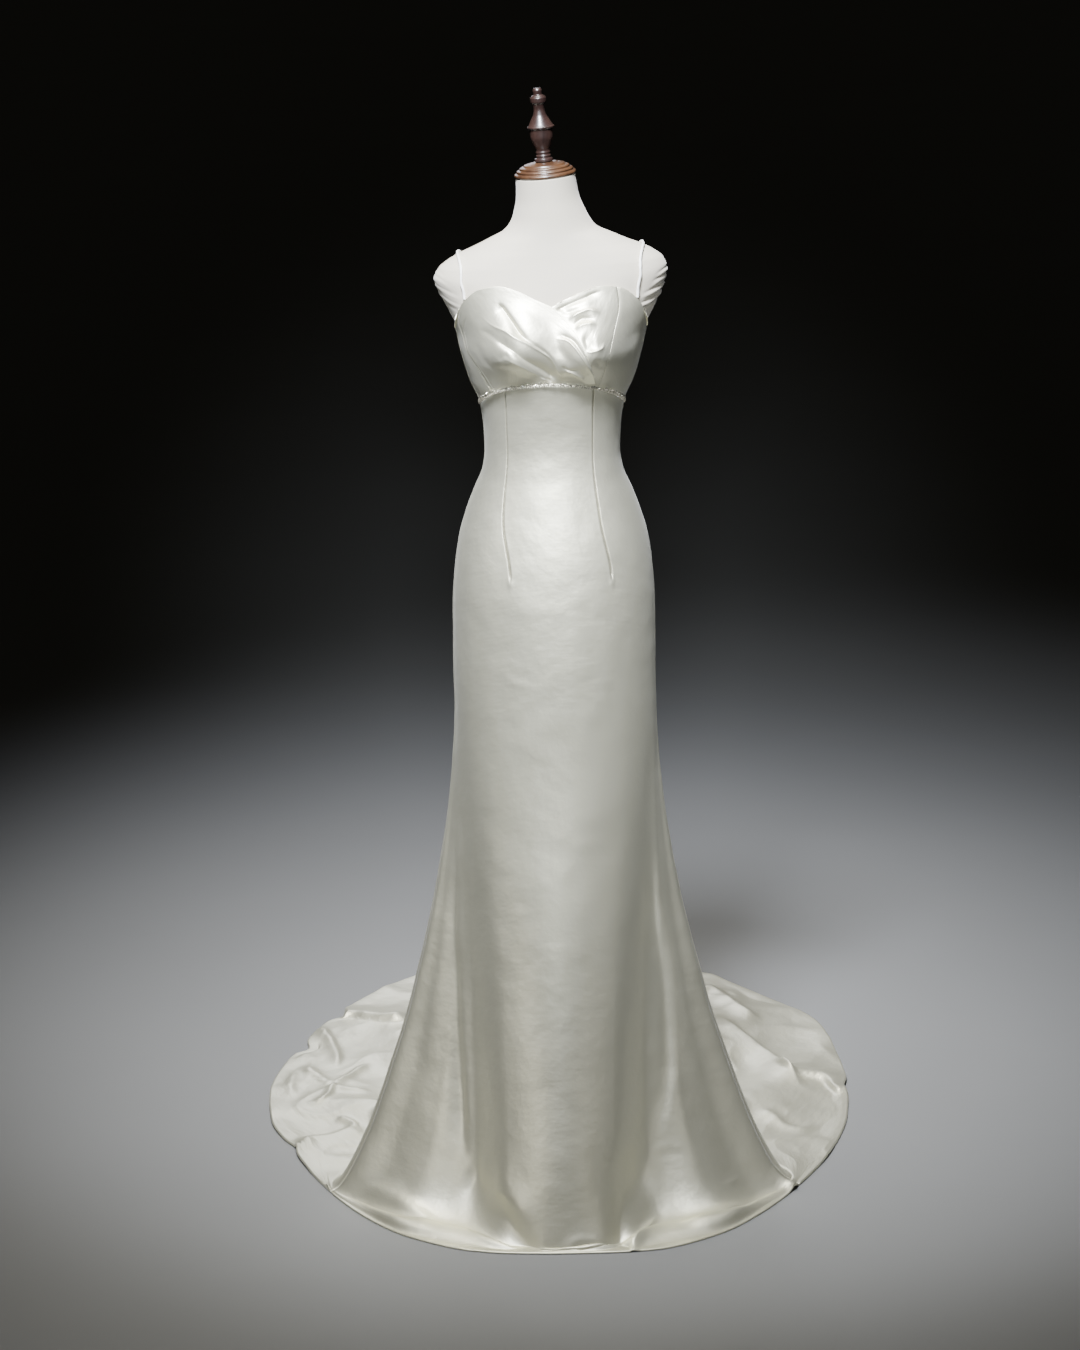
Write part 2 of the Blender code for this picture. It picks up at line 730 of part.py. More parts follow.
# ---- the zip ---------------------------------------------------------------------------------
ZIP_TOP = 1.3780
CHAIN_TOP = -0.94  # stations of the back panels
CHAIN_END = 0.42
CHAIN_GAP = 0.0005
CHAIN_WIDTH = 0.0044
CHAIN_THICK = 0.0012
SLIDER = (0.0060, 0.0090, 0.0016)  # width, length and thickness of its plate
PIN_RADIUS = 0.0006
PIN_RISE = 0.0027  # from the plate's face to the pin
LUG_REACH = 0.0011  # beyond the pin
LUG_HALF = 0.0016  # half its length
LUG_INNER = 0.0009  # from the middle of the slider to its inner and outer face
LUG_OUTER = 0.0021
EYE = 0.0022  # outer radius of the tab's eye
EYE_HALF = 0.00065  # half its width
TAB = (0.0034, 0.0210, 0.0011)  # width, length and thickness


def zip_frame(height):
    """(point, outward normal, way down) on the centre-back seam."""
    point = worn_point(180, height)
    down = (worn_point(180, height - 0.01) - worn_point(180, height + 0.01)).normalized()
    return point, Vector((1, 0, 0)).cross(down).normalized(), down


def build_chain():
    """The zip's chain, which follows the back panels' own levels."""
    levels = [s for s in BACK_STATIONS if CHAIN_TOP < s < CHAIN_END]
    outer, normals = [], []
    for s in [CHAIN_TOP] + levels + [CHAIN_END]:
        point = back_point(180, s)
        down = (back_point(180, s + 0.01) - back_point(180, s - 0.01)).normalized()
        n = Vector((1, 0, 0)).cross(down).normalized()
        face = point + n * (CHAIN_GAP + CHAIN_THICK)
        outer.append([face + Vector((CHAIN_WIDTH * o, 0, 0)) for o in (-0.5, 0.5)])
        normals.append([n, n])
    wall("zip_chain", outer, normals, CHAIN_THICK, "nylon", SATIN)


def circle(radius, sides):
    turns = [math.tau * k / sides for k in range(sides)]
    return [(radius * math.cos(t), radius * math.sin(t)) for t in turns]


def prism(bm, outline, frame, low, high):
    """Adds a closed prism: an outline in (across, along) swept from low to high.

    frame is (origin, across, along, sweep).
    """
    origin, across, length, sweep = frame
    rings = []
    for rise in (low, high):
        places = [origin + across * a + length * b + sweep * rise for a, b in outline]
        rings.append([bm.verts.new(p) for p in places])
    count = len(outline)
    for k in range(count):
        m = (k + 1) % count
        bm.faces.new((rings[0][k], rings[0][m], rings[1][m], rings[1][k]))
    bm.faces.new(rings[0])
    bm.faces.new(rings[1])


def join(target, tool, operation):
    """Applies a boolean to the target's mesh and removes the tool."""
    step = target.modifiers.new("cut", "BOOLEAN")
    step.object = tool
    step.operation = operation
    step.solver = "EXACT"
    shape = target.evaluated_get(bpy.context.evaluated_depsgraph_get())
    made = bpy.data.meshes.new_from_object(shape)
    target.modifiers.clear()
    target.data = made
    bpy.data.objects.remove(tool)


def build_zip():
    """The chain, the slider with its pin, and the pull tab that hangs on the pin."""
    build_chain()
    point, n, down = zip_frame(ZIP_TOP)
    across = Vector((1, 0, 0))
    plate_low = CHAIN_GAP + CHAIN_THICK + GAP
    wide, long, thick = SLIDER
    plate = [(-wide * 0.36, -long / 2), (wide * 0.36, -long / 2), (wide / 2, -long / 4),
             (wide * 0.42, long / 2), (-wide * 0.42, long / 2), (-wide / 2, -long / 4)]
    bm = bmesh.new()
    prism(bm, plate, (point, across, down, n), plate_low, plate_low + thick)
    slider = add("zip_slider", bm, "zip metal", STEEL)
    pin = point + n * (plate_low + thick + PIN_RISE)
    root, crown = -PIN_RISE - thick / 4, LUG_REACH * 0.6
    edge = [(root, -LUG_HALF), (crown, -LUG_HALF), (LUG_REACH, 0), (crown, LUG_HALF),
            (root, LUG_HALF)]
    for low, high in ((LUG_INNER, LUG_OUTER), (-LUG_OUTER, -LUG_INNER)):
        bm = bmesh.new()
        prism(bm, edge, (pin, n, down, across), low, high)
        join(slider, add("lug", bm, "zip metal", STEEL), "UNION")
    bm = bmesh.new()
    pin_half = (LUG_INNER + LUG_OUTER) / 2
    prism(bm, circle(PIN_RADIUS, 12), (pin, n, down, across), -pin_half, pin_half)
    join(slider, add("pin", bm, "zip metal", STEEL), "UNION")

    wide, long, thick = TAB
    n, down = Vector((0, 1, 0)), Vector((0, 0, -1))  # it hangs plumb
    bm = bmesh.new()
    prism(bm, circle(EYE, 16), (pin, n, down, across), -EYE_HALF, EYE_HALF)
    tab = add("zip_pull_tab", bm, "zip metal", STEEL)
    bm = bmesh.new()
    root, shoulder, swell = EYE * 0.6, long * 0.3, long * 0.8
    edge = [(EYE_HALF, root), (wide / 2, shoulder), (wide * 0.62, swell), (wide * 0.42, long)]
    grip = edge + [(-a, b) for a, b in reversed(edge)]
    prism(bm, grip, (pin, across, down, n), -thick / 2, thick / 2)
    join(tab, add("grip", bm, "zip metal", STEEL), "UNION")
    bm = bmesh.new()
    prism(bm, circle(PIN_RADIUS + GAP, 16), (pin, n, down, across), -EYE, EYE)
    join(tab, add("bore", bm, "zip metal", STEEL), "DIFFERENCE")
    for made in (slider, tab):
        made.data.set_sharp_from_angle(angle=math.radians(35))


# ---- the dress form and its stand ------------------------------------------------------------
def lathe(name, profile, sides, place, slot, look):
    """A turned solid of (height, radius) rows, moved by a function of each point."""
    bm = bmesh.new()
    rings = []
    for height, radius in profile:
        turns = [math.tau * k / sides for k in range(sides)]
        ring = [Vector((radius * math.cos(t), radius * math.sin(t), height)) for t in turns]
        rings.append([bm.verts.new(place(p)) for p in ring])
    for low, high in zip(rings, rings[1:], strict=False):
        for k in range(sides):
            m = (k + 1) % sides
            bm.faces.new((low[k], low[m], high[m], high[k]))
    bm.faces.new(rings[0])
    bm.faces.new(rings[-1])
    return add(name, bm, slot, look)


FORM_SIDES = 44
FORM_LEVELS = [HIP_LINE, 0.85, 0.91, 0.97, 1.03, 1.08, 1.12, 1.157, 1.189, 1.22, 1.25, 1.28]
FORM_LEVELS += [1.31, 1.335, 1.36, 1.385, 1.409, 1.436, 1.46, 1.48, 1.50, 1.515, 1.528, 1.538]
FORM_LEVELS += [1.547, 1.556, 1.566, 1.580, 1.600, 1.620, NECK_TOP]

# height and radius
BASE_PROFILE = (
    (0.0, BASE_RADIUS),
    (0.007, BASE_RADIUS),
    (0.0105, BASE_RADIUS - 0.004),
    (BASE_THICK, BASE_RADIUS - 0.012),
    (BASE_THICK, 0.030),
    (0.030, 0.024),
    (0.033, 0.021),  # the socket's rim, which carries the pole
)
POLE_PROFILE = (
    (BASE_PROFILE[-1][0] + GAP, POLE_RADIUS),
    (HIP_LINE - GAP - 0.030, POLE_RADIUS),
    (HIP_LINE - GAP - 0.022, 0.018),
    (HIP_LINE - GAP - 0.006, 0.022),
    (HIP_LINE - GAP - 0.006, 0.048),
    (HIP_LINE - GAP, 0.048),  # the flange under the form
)


def build_form():
    bm = bmesh.new()
    rings = []
    for height in FORM_LEVELS:
        ring = [form_point(a, height) for a in spaced(-180, 180, FORM_SIDES)[:-1]]
        rings.append([bm.verts.new(p) for p in ring])
    for low, high in zip(rings, rings[1:], strict=False):
        for k in range(FORM_SIDES):
            m = (k + 1) % FORM_SIDES
            bm.faces.new((low[k], low[m], high[m], high[k]))
    bm.faces.new(rings[0])
    bm.faces.new(rings[-1])
    add("form_torso", bm, "jersey", JERSEY)

    cap_foot = NECK_TOP + GAP
    cap_height = CAP_PROFILE[-1][0]
    profile = [(cap_foot + h, r) for h, r in CAP_PROFILE]
    lathe("neck_cap", profile, 40, leaned, "wood", WOOD)
    finial_foot = cap_foot + cap_height + GAP
    profile = [(finial_foot + h, r) for h, r in FINIAL_PROFILE]
    lathe("finial", profile, 24, leaned, "wood", WOOD)


def build_stand():
    lathe("stand_base", BASE_PROFILE, 48, Vector, "iron", IRON)
    lathe("stand_pole", POLE_PROFILE, 24, Vector, "iron", IRON)


def main():
    for old in list(bpy.data.objects):
        bpy.data.objects.remove(old)
    build_skirt()
    build_bodice()
    build_band()
    build_straps()
    build_zip()
    build_form()
    build_stand()


main()
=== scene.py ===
"""Looks of a satin gown with a sweep train, worn by a limbless dress form on a round stand.

Metres, +Z up. The origin is on the floor, under the stand's pole. The gown faces -Y, and +X is
its wearer's left. An angle round the body is 0 at the centre front, +90 at the wearer's left side
and 180 at the centre back. A station runs down the skirt: 0 at the empire seam, 1 at the hip line,
2 where the cloth reaches the floor and 3 at the hem; the back's bodice is -1 to 0.
"""

import logging
import math
from collections.abc import Callable, Sequence
from dataclasses import dataclass
from enum import Enum

import bpy
import numpy as np
from mathutils import Matrix, Vector, noise


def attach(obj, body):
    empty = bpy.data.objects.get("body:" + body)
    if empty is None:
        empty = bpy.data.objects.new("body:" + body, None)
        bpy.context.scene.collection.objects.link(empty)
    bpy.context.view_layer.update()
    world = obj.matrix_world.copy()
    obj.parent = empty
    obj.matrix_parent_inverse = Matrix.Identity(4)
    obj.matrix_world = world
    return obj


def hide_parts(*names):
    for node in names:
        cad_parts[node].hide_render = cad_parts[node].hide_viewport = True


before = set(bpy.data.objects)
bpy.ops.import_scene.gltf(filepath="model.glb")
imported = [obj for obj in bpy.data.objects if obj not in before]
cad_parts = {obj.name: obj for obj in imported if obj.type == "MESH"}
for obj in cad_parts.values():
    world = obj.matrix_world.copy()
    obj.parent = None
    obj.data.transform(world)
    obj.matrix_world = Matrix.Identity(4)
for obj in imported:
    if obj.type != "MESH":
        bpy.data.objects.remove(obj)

Array = np.ndarray
Place = tuple[float, float]
Point = tuple[float, float, float]
Colour = tuple[float, ...]
Faces = list[list[int]]
Shape = tuple[Array, Faces]
Surface = Callable[[Array, Array], Array]
Finish = bpy.types.Material
Piece = bpy.types.Object
LOG = logging.getLogger("gown")
BODY = "gown_on_form"

# ---- sizes shared by all the pieces ----
CLOTH = 0.0016  # the satin and its lining together
EASE = 0.0042  # how far the cloth's outer face stands off the form
SEAM = 0.0003  # the gap between two pieces at a seam
SIDE_SEAM = 82.5  # its angle on the wearer's left
HIP_LINE = 0.800
DROP = 0.380  # how far below the hip line the skirt still hangs nearly upright
MEAN_REACH = 0.340
FLARE = 0.005
FLARE_SHARE = 0.15  # what a fold of more than the mean reach adds to the flare
NECK_ROOT = 1.570
NECK_BLEND = 0.030
NECK_TOP = 1.645
NECK_LEAN = math.radians(4.8)
BUST_SPAN = 0.073  # from the middle to each side
BUST_HEIGHT = 1.390
BUST_DEPTH = 0.047
BUST_ABOVE = 0.050  # how far the bust dies away upwards
BUST_BELOW = 0.040
FORM_SPREAD = 0.046  # how wide each side of the bust is, on the form and under the cloth
WORN_SPREAD = 0.056
SHOULDER_FROM = 1.440
SHOULDER_FULL = 1.520
SHOULDER_TILT = 0.042  # how far the right shoulder hangs lower, as a slope
SHOULDER_DROP = 0.005


@dataclass(frozen=True)
class Section:
    """One level of the general figure."""

    height: float
    half_width: float
    front: float
    back: float
    square: float


FIGURE = tuple(Section(*row) for row in (
    (1.645, 0.0455, 0.047, 0.049, 0),
    (1.616, 0.048, 0.048, 0.054, 0),
    (1.59, 0.056, 0.051, 0.063, 0),
    (1.569, 0.072, 0.055, 0.071, 0),
    (1.556, 0.098, 0.058, 0.076, 0),
    (1.546, 0.12, 0.061, 0.08, 0),
    (1.537, 0.142, 0.064, 0.084, 0.01),
    (1.528, 0.159, 0.067, 0.088, 0.02),
    (1.517, 0.173, 0.071, 0.091, 0.03),
    (1.5, 0.18, 0.077, 0.095, 0.03),
    (1.475, 0.174, 0.085, 0.099, 0.02),
    (1.441, 0.1585, 0.093, 0.101, 0.02),
    (1.409, 0.1435, 0.096, 0.1, 0.03),
    (1.385, 0.1385, 0.096, 0.098, 0.04),
    (1.334, 0.124, 0.092, 0.092, 0.04),
    (1.296, 0.108, 0.086, 0.087, 0.04),
    (1.25, 0.1025, 0.079, 0.08, 0.04),
    (1.222, 0.1015, 0.077, 0.079, 0.04),
    (1.189, 0.106, 0.079, 0.084, 0.04),
    (1.157, 0.1195, 0.084, 0.094, 0.03),
    (1.123, 0.1325, 0.09, 0.105, 0.03),
    (1.084, 0.1435, 0.097, 0.115, 0.03),
    (1.041, 0.1505, 0.102, 0.122, 0.03),
    (0.978, 0.1555, 0.105, 0.126, 0.03),
    (0.916, 0.156, 0.105, 0.123, 0.03),
    (0.8, 0.1565, 0.105, 0.119, 0.03),
))

# (angle, height) places along each line of the bodice
TOP_EDGE = (
    (0, 1.4590), (8, 1.4695), (16, 1.4810), (25, 1.4880), (35, 1.4835),
    (47, 1.4665), (65, 1.4335), (90, 1.4050), (125, 1.3900), (180, 1.3850),
)
EMPIRE_SEAM = (
    (0, 1.3425), (18, 1.3390), (30, 1.3335), (46, 1.3225), (58, 1.3130), (90, 1.2960),
    (180, 1.2960),
)
SEAM_RIGHT = ((46, 1.3225), (50, 1.3450), (57, 1.3710), (64, 1.3900), (66, 1.4180), (55, 1.4520))
SEAM_LEFT = ((32, 1.3325), (34, 1.3550), (36.5, 1.3900), (38, 1.4150), (37.5, 1.4450), (33, 1.4850))
CROSS_OVER = (
    (0.5, 1.4585), (8, 1.4369), (16, 1.4137), (21, 1.3890), (25.5, 1.3640), (29.5, 1.3335),
)


@dataclass(frozen=True)
class Fold:
    """One fold line of the skirt, from the hip line down to the floor and out to the hem."""

    body_angle: float
    floor_angle: float
    reach: float
    lift: float
    bend: float
    rise: float
    hem_x: float
    hem_y: float


FOLDS = tuple(Fold(*row) for row in (
    (-180, -180, 0.46, 0.022, 0.1, 0, 0, 0.975),
    (-166, -169, 0.385, 0, 0.085, 0, -0.205, 0.9),
    (-150, -155, 0.45, 0.022, 0.095, 0, -0.365, 0.735),
    (-134, -139, 0.35, 0, 0.075, 0, -0.452, 0.545),
    (-119, -124, 0.385, 0.012, 0.08, 0, -0.503, 0.31),
    (-108, -110, 0.34, 0.004, 0.065, 0, -0.492, 0.185),
    (-97, -96, 0.305, 0, 0.05, 0, -0.452, 0.075),
    (-85, -76, 0.386, 0.004, 0.042, 0, -0.382, -0.09),
    (-79, -64, 0.355, 0, 0.07, 0, -0.316, -0.196),
    (-74, -51, 0.342, 0.004, 0.105, 0, -0.25, -0.266),
    (-65, -35, 0.298, 0, 0.09, 0, -0.158, -0.319),
    (-34, -15, 0.321, 0, 0.04, 0.05, -0.078, -0.333),
    (0, 0, 0.326, 0, 0.014, 0.08, 0, -0.336),
    (34, 15, 0.321, 0, 0.04, 0.05, 0.08, -0.334),
    (65, 35, 0.296, 0, 0.09, 0, 0.164, -0.323),
    (74, 51, 0.348, 0.005, 0.105, 0, 0.256, -0.27),
    (79, 64, 0.355, 0, 0.07, 0, 0.328, -0.19),
    (85, 77, 0.39, 0.004, 0.042, 0, 0.396, -0.083),
    (97, 96, 0.305, 0, 0.05, 0, 0.456, 0.045),
    (108, 111, 0.345, 0.004, 0.065, 0, 0.493, 0.185),
    (119, 126, 0.395, 0.014, 0.08, 0, 0.505, 0.335),
    (134, 141, 0.36, 0, 0.075, 0, 0.48, 0.575),
    (150, 156, 0.45, 0.022, 0.095, 0, 0.38, 0.735),
    (166, 169, 0.39, 0, 0.085, 0, 0.205, 0.905),
    (180, 180, 0.46, 0.022, 0.1, 0, 0, 0.975),
))


# ---- lines and surfaces ----
class Spline:
    """A smooth line through given values that doesn't swing past any of them."""

    def __init__(self, places: Sequence[float], values: Sequence[float]) -> None:
        """Works out the slope at each place.

        Args:
            places: where the values are given, rising.
            values: the value at each place.
        """
        self.x = np.array(places, float)
        self.y = np.array(values, float)
        step = np.diff(self.x)
        rise = np.diff(self.y) / step
        before = 2 * step[1:] + step[:-1]
        after = step[1:] + 2 * step[:-1]
        same = rise[:-1] * rise[1:] > 0
        inner = np.zeros(len(rise) - 1)
        inner[same] = (before + after)[same] / (
            before[same] / rise[:-1][same] + after[same] / rise[1:][same]
        )
        self.slope = np.concatenate([rise[:1], inner, rise[-1:]])

    def __call__(self, place: Array | float) -> Array:
        """Reads the line.

        Args:
            place: one place or an array of them, held to the line's own reach.

        Returns:
            The value at each place.
        """
        place = np.clip(np.asarray(place, float), self.x[0], self.x[-1])
        i = np.clip(np.searchsorted(self.x, place, side="right") - 1, 0, len(self.x) - 2)
        h = self.x[i + 1] - self.x[i]
        t = (place - self.x[i]) / h
        keep = 2 * t**3 - 3 * t**2 + 1
        return (
            keep * self.y[i]
            + (t**3 - 2 * t**2 + t) * h * self.slope[i]
            + (1 - keep) * self.y[i + 1]
            + (t**3 - t**2) * h * self.slope[i + 1]
        )


def column(rows: Sequence[object], place: str, value: str) -> Spline:
    """The line of one named column of a table over another."""
    ordered = sorted(rows, key=lambda row: getattr(row, place))
    return Spline([getattr(r, place) for r in ordered], [getattr(r, value) for r in ordered])


def line_of(places: Sequence[Place]) -> Spline:
    """The line through a row of (place, value) pairs."""
    return Spline([p for p, _ in places], [q for _, q in places])


def ring_of(value: str, turn: float) -> Spline:
    """The line of one column of the folds, closed round the body.

    Args:
        value: the column that it reads.
        turn: what the column grows by in one turn round the body.

    Returns:
        The line, over the body angle.
    """
    before = [f for f in FOLDS if 90 < f.body_angle < 180]
    after = [f for f in FOLDS if -180 < f.body_angle < -90]
    places = [f.body_angle - 360 for f in before] + [f.body_angle for f in FOLDS]
    places += [f.body_angle + 360 for f in after]
    values = [getattr(f, value) - turn for f in before] + [getattr(f, value) for f in FOLDS]
    values += [getattr(f, value) + turn for f in after]
    return Spline(places, values)


def ease_in(t: Array | float) -> Array:
    """From 0 to 1 with a level start and end."""
    t = np.clip(t, 0.0, 1.0)
    return t * t * (3 - 2 * t)


def bell(distance: Array | float, width: float) -> Array:
    """A soft rise, 1 in the middle."""
    return np.exp(-((np.asarray(distance) / width) ** 2))


def unit(vectors: Array) -> Array:
    """The same vectors with a length of 1."""
    return vectors / np.maximum(np.linalg.norm(vectors, axis=-1, keepdims=True), 1e-12)


def lengths(run: Array) -> Array:
    """How far along a run of points each of them lies."""
    return np.concatenate([[0], np.cumsum(np.linalg.norm(np.diff(run, axis=0), axis=1))])


def smooth_path(stops: Array, count: int) -> Array:
    """A smooth path through some points.

    Args:
        stops: the points.
        count: how many it gets.

    Returns:
        The path.
    """
    along = lengths(stops)
    at = np.linspace(0, along[-1], count)
    return np.stack([Spline(along, stops[:, k])(at) for k in range(stops.shape[1])], axis=-1)


def crowded(count: int, start: float = 0.0, end: float = 0.0) -> Array:
    """Steps from 0 to 1 that crowd towards their ends.

    Args:
        count: how many steps.
        start: how far they crowd to the start, up to 1.
        end: how far they crowd to the end, up to 1.

    Returns:
        The places of the steps.
    """
    t = (np.arange(count) + 0.5) / count
    pace = 1.02 - start * (1 - t) ** 3 - end * t**3
    return np.concatenate([[0], np.cumsum(pace) / pace.sum()])


def spans(*rows: tuple[float, float, int, float, float]) -> Array:
    """Rising places in spans of (start, length, steps, crowding at its start and end)."""
    made = [first + length * crowded(*rest) for first, length, *rest in rows]
    return np.concatenate(made[:1] + [span[1:] for span in made[1:]])


HALF_WIDTH = column(FIGURE, "height", "half_width")
FRONT = column(FIGURE, "height", "front")
BACK = column(FIGURE, "height", "back")
SQUARE = column(FIGURE, "height", "square")
TOP = line_of(TOP_EDGE)
EMPIRE = line_of(EMPIRE_SEAM)
FLOOR_ANGLE = ring_of("floor_angle", 360)
REACH = ring_of("reach", 0)
LIFT = ring_of("lift", 0)
BEND = ring_of("bend", 0)
RISE = ring_of("rise", 0)
HEM_X = ring_of("hem_x", 0)
HEM_Y = ring_of("hem_y", 0)


def level(angle: Array, height: Array, ease: float, spread: float) -> Array:
    """Points of the figure's section at a height.

    Args:
        angle: degrees round the body.
        height: above the floor.
        ease: how far the section is let out.
        spread: how wide each breast is.

    Returns:
        The points, one more axis than the angles.
    """
    angle, height = np.broadcast_arrays(np.asarray(angle, float), np.asarray(height, float))
    turn = np.radians(angle)
    corner = 1 + SQUARE(height) * np.sin(2 * turn) ** 2
    x = (HALF_WIDTH(height) + ease) * np.sin(turn) * corner
    depth = np.where(np.cos(turn) > 0, FRONT(height), BACK(height))
    y = -(depth + ease) * np.cos(turn) * corner
    tall = np.where(height > BUST_HEIGHT, BUST_ABOVE, BUST_BELOW)
    across = bell(x - BUST_SPAN, spread) + bell(x + BUST_SPAN, spread)
    front = np.where(np.abs(angle) < 90, np.cos(turn) ** 2, 0)
    rise = np.exp(-(((height - BUST_HEIGHT) / tall) ** 2))
    return np.stack([x, y - BUST_DEPTH * front * across * rise, height], axis=-1)


def leaned(points: Array, share: Array | float = 1.0) -> Array:
    """Points turned with the neck's lean.

    Args:
        points: the points before the lean.
        share: how much of the lean each one takes.

    Returns:
        The turned points.
    """
    turn = -NECK_LEAN * np.asarray(share)
    x, z = points[..., 0], points[..., 2] - NECK_ROOT
    made = np.array(points, float)
    made[..., 0] = x * np.cos(turn) + z * np.sin(turn)
    made[..., 2] = NECK_ROOT - x * np.sin(turn) + z * np.cos(turn)
    return made


def form_point(angle: Array, height: Array) -> Array:
    """The dress form's surface, with the shoulders' tilt and the neck's lean.

    Args:
        angle: degrees round the body.
        height: above the floor, before the tilt and the lean.

    Returns:
        The points.
    """
    points = level(angle, height, 0.0, FORM_SPREAD)
    height = points[..., 2]
    on_neck = ease_in((height - NECK_ROOT) / NECK_BLEND)
    share = ease_in((height - SHOULDER_FROM) / (SHOULDER_FULL - SHOULDER_FROM))
    tilt = share * (SHOULDER_TILT * points[..., 0] - SHOULDER_DROP) * (1 - on_neck)
    points = points + np.stack([0 * tilt, 0 * tilt, tilt], axis=-1)
    return leaned(points, on_neck)


def worn_point(angle: Array, height: Array) -> Array:
    """The outer face of the cloth above the hip line."""
    return level(angle, height, EASE, WORN_SPREAD)


def outward(surface: Surface, angle: Array, height: Array) -> tuple[Array, Array]:
    """A surface's points at some angles and heights, with the outward normals.

    Args:
        surface: the surface.
        angle: degrees round the body.
        height: above the floor.

    Returns:
        The points and the normals.
    """
    points = surface(angle, height)
    turning = surface(angle + 0.05, height) - surface(angle - 0.05, height)
    down = surface(angle, height - 0.0005) - surface(angle, height + 0.0005)
    return points, unit(np.cross(down, turning))


def angle_at(x: Array | float, height: Array | float) -> Array:
    """The angle at which the cloth's front has that x.

    Args:
        x: how far out towards the wearer's left.
        height: above the floor.

    Returns:
        Degrees round the body.
    """
    x, height = np.broadcast_arrays(np.asarray(x, float), np.asarray(height, float))
    turn = np.arcsin(np.clip(x / (HALF_WIDTH(height) + EASE), -0.999, 0.999))
    for _ in range(4):
        corner = 1 + SQUARE(height) * np.sin(2 * turn) ** 2
        turn = np.arcsin(np.clip(x / ((HALF_WIDTH(height) + EASE) * corner), -0.999, 0.999))
    return np.degrees(turn)


def skirt_point(angle: Array, station: Array) -> Array:
    """The outer face of the skirt.

    Args:
        angle: degrees round the body.
        station: 0 to 3 down the skirt.

    Returns:
        The points.
    """
    angle, station = np.broadcast_arrays(np.asarray(angle, float), np.asarray(station, float))
    top = EMPIRE(np.abs(angle)) - SEAM
    close = worn_point(angle, top + (HIP_LINE - top) * np.clip(station, 0, 1))
    reach, lift = REACH(angle)[..., None], LIFT(angle)
    turn = np.radians(FLOOR_ANGLE(angle))
    way = np.stack([np.sin(turn), -np.cos(turn), 0 * turn], axis=-1)
    landing = way * reach
    landing[..., 2] = CLOTH + lift
    hip = worn_point(angle, HIP_LINE)
    out = unit(hip * np.array([1, 1, 0]))
    upright = hip + out * (FLARE + FLARE_SHARE * (reach - MEAN_REACH)) - np.array([0, 0, DROP])
    turning = landing - way * BEND(angle)[..., None]
    turning[..., 2] += RISE(angle)
    t = np.clip(station - 1, 0, 1)[..., None]
    fall = (
        hip * (1 - t) ** 3
        + upright * (3 * t * (1 - t) ** 2)
        + turning * (3 * t * t * (1 - t))
        + landing * t**3
    )
    w = np.clip(station - 2, 0, 1)
    lying = landing * (1 - w[..., None])
    lying[..., 0] += HEM_X(angle) * w
    lying[..., 1] += HEM_Y(angle) * w
    lying[..., 2] = CLOTH + lift * (1 - ease_in(w))
    s = station[..., None]
    return np.where(s <= 1, close, np.where(s <= 2, fall, lying))


def back_point(angle: Array, station: Array) -> Array:
    """The outer face of a back panel: the skirt's, and above station 0 the bodice's.

    Args:
        angle: degrees round the body.
        station: -1 to 3 down the panel.

    Returns:
        The points.
    """
    angle, station = np.broadcast_arrays(np.asarray(angle, float), np.asarray(station, float))
    seat = EMPIRE(90)
    top = worn_point(angle, seat + (TOP(np.abs(angle)) - seat) * np.clip(-station, 0, 1))
    return np.where(station[..., None] >= 0, skirt_point(angle, np.maximum(station, 0)), top)


# ---- finishes ----
class Value:
    """A shader socket on which sums can be written."""

    def __init__(self, paint: "Paint", socket: bpy.types.NodeSocket) -> None:
        """Keeps the socket and the finish that it belongs to."""
        self.paint = paint
        self.socket = socket

    def _sum(self, operation: str, *terms: "Value | float") -> "Value":
        """One Math node, or a Vector Math node where a term is a vector.

        Args:
            operation: the node's own name for the sum.
            terms: its terms, in order.

        Returns:
            The sum.
        """
        vector = any(isinstance(t, Value) and t.socket.type != "VALUE" for t in terms)
        kind = "ShaderNodeVectorMath" if vector else "ShaderNodeMath"
        if vector:
            terms = tuple(t if isinstance(t, Value) else (t, t, t) for t in terms)
        return self.paint.node(kind, {"operation": operation}, dict(enumerate(terms)))

    def __add__(self, other: "Value | float") -> "Value":
        """The sum of the two."""
        return self._sum("ADD", self, other)

    def __sub__(self, other: "Value | float") -> "Value":
        """The difference of the two."""
        return self._sum("SUBTRACT", self, other)

    def __rsub__(self, other: float) -> "Value":
        """The difference, from a number."""
        return self._sum("SUBTRACT", other, self)

    def __mul__(self, other: "Value | float") -> "Value":
        """The product of the two."""
        return self._sum("MULTIPLY", self, other)

    def __pow__(self, other: float) -> "Value":
        """The value to a power."""
        return self._sum("POWER", self, other)

    __radd__ = __add__
    __rmul__ = __mul__


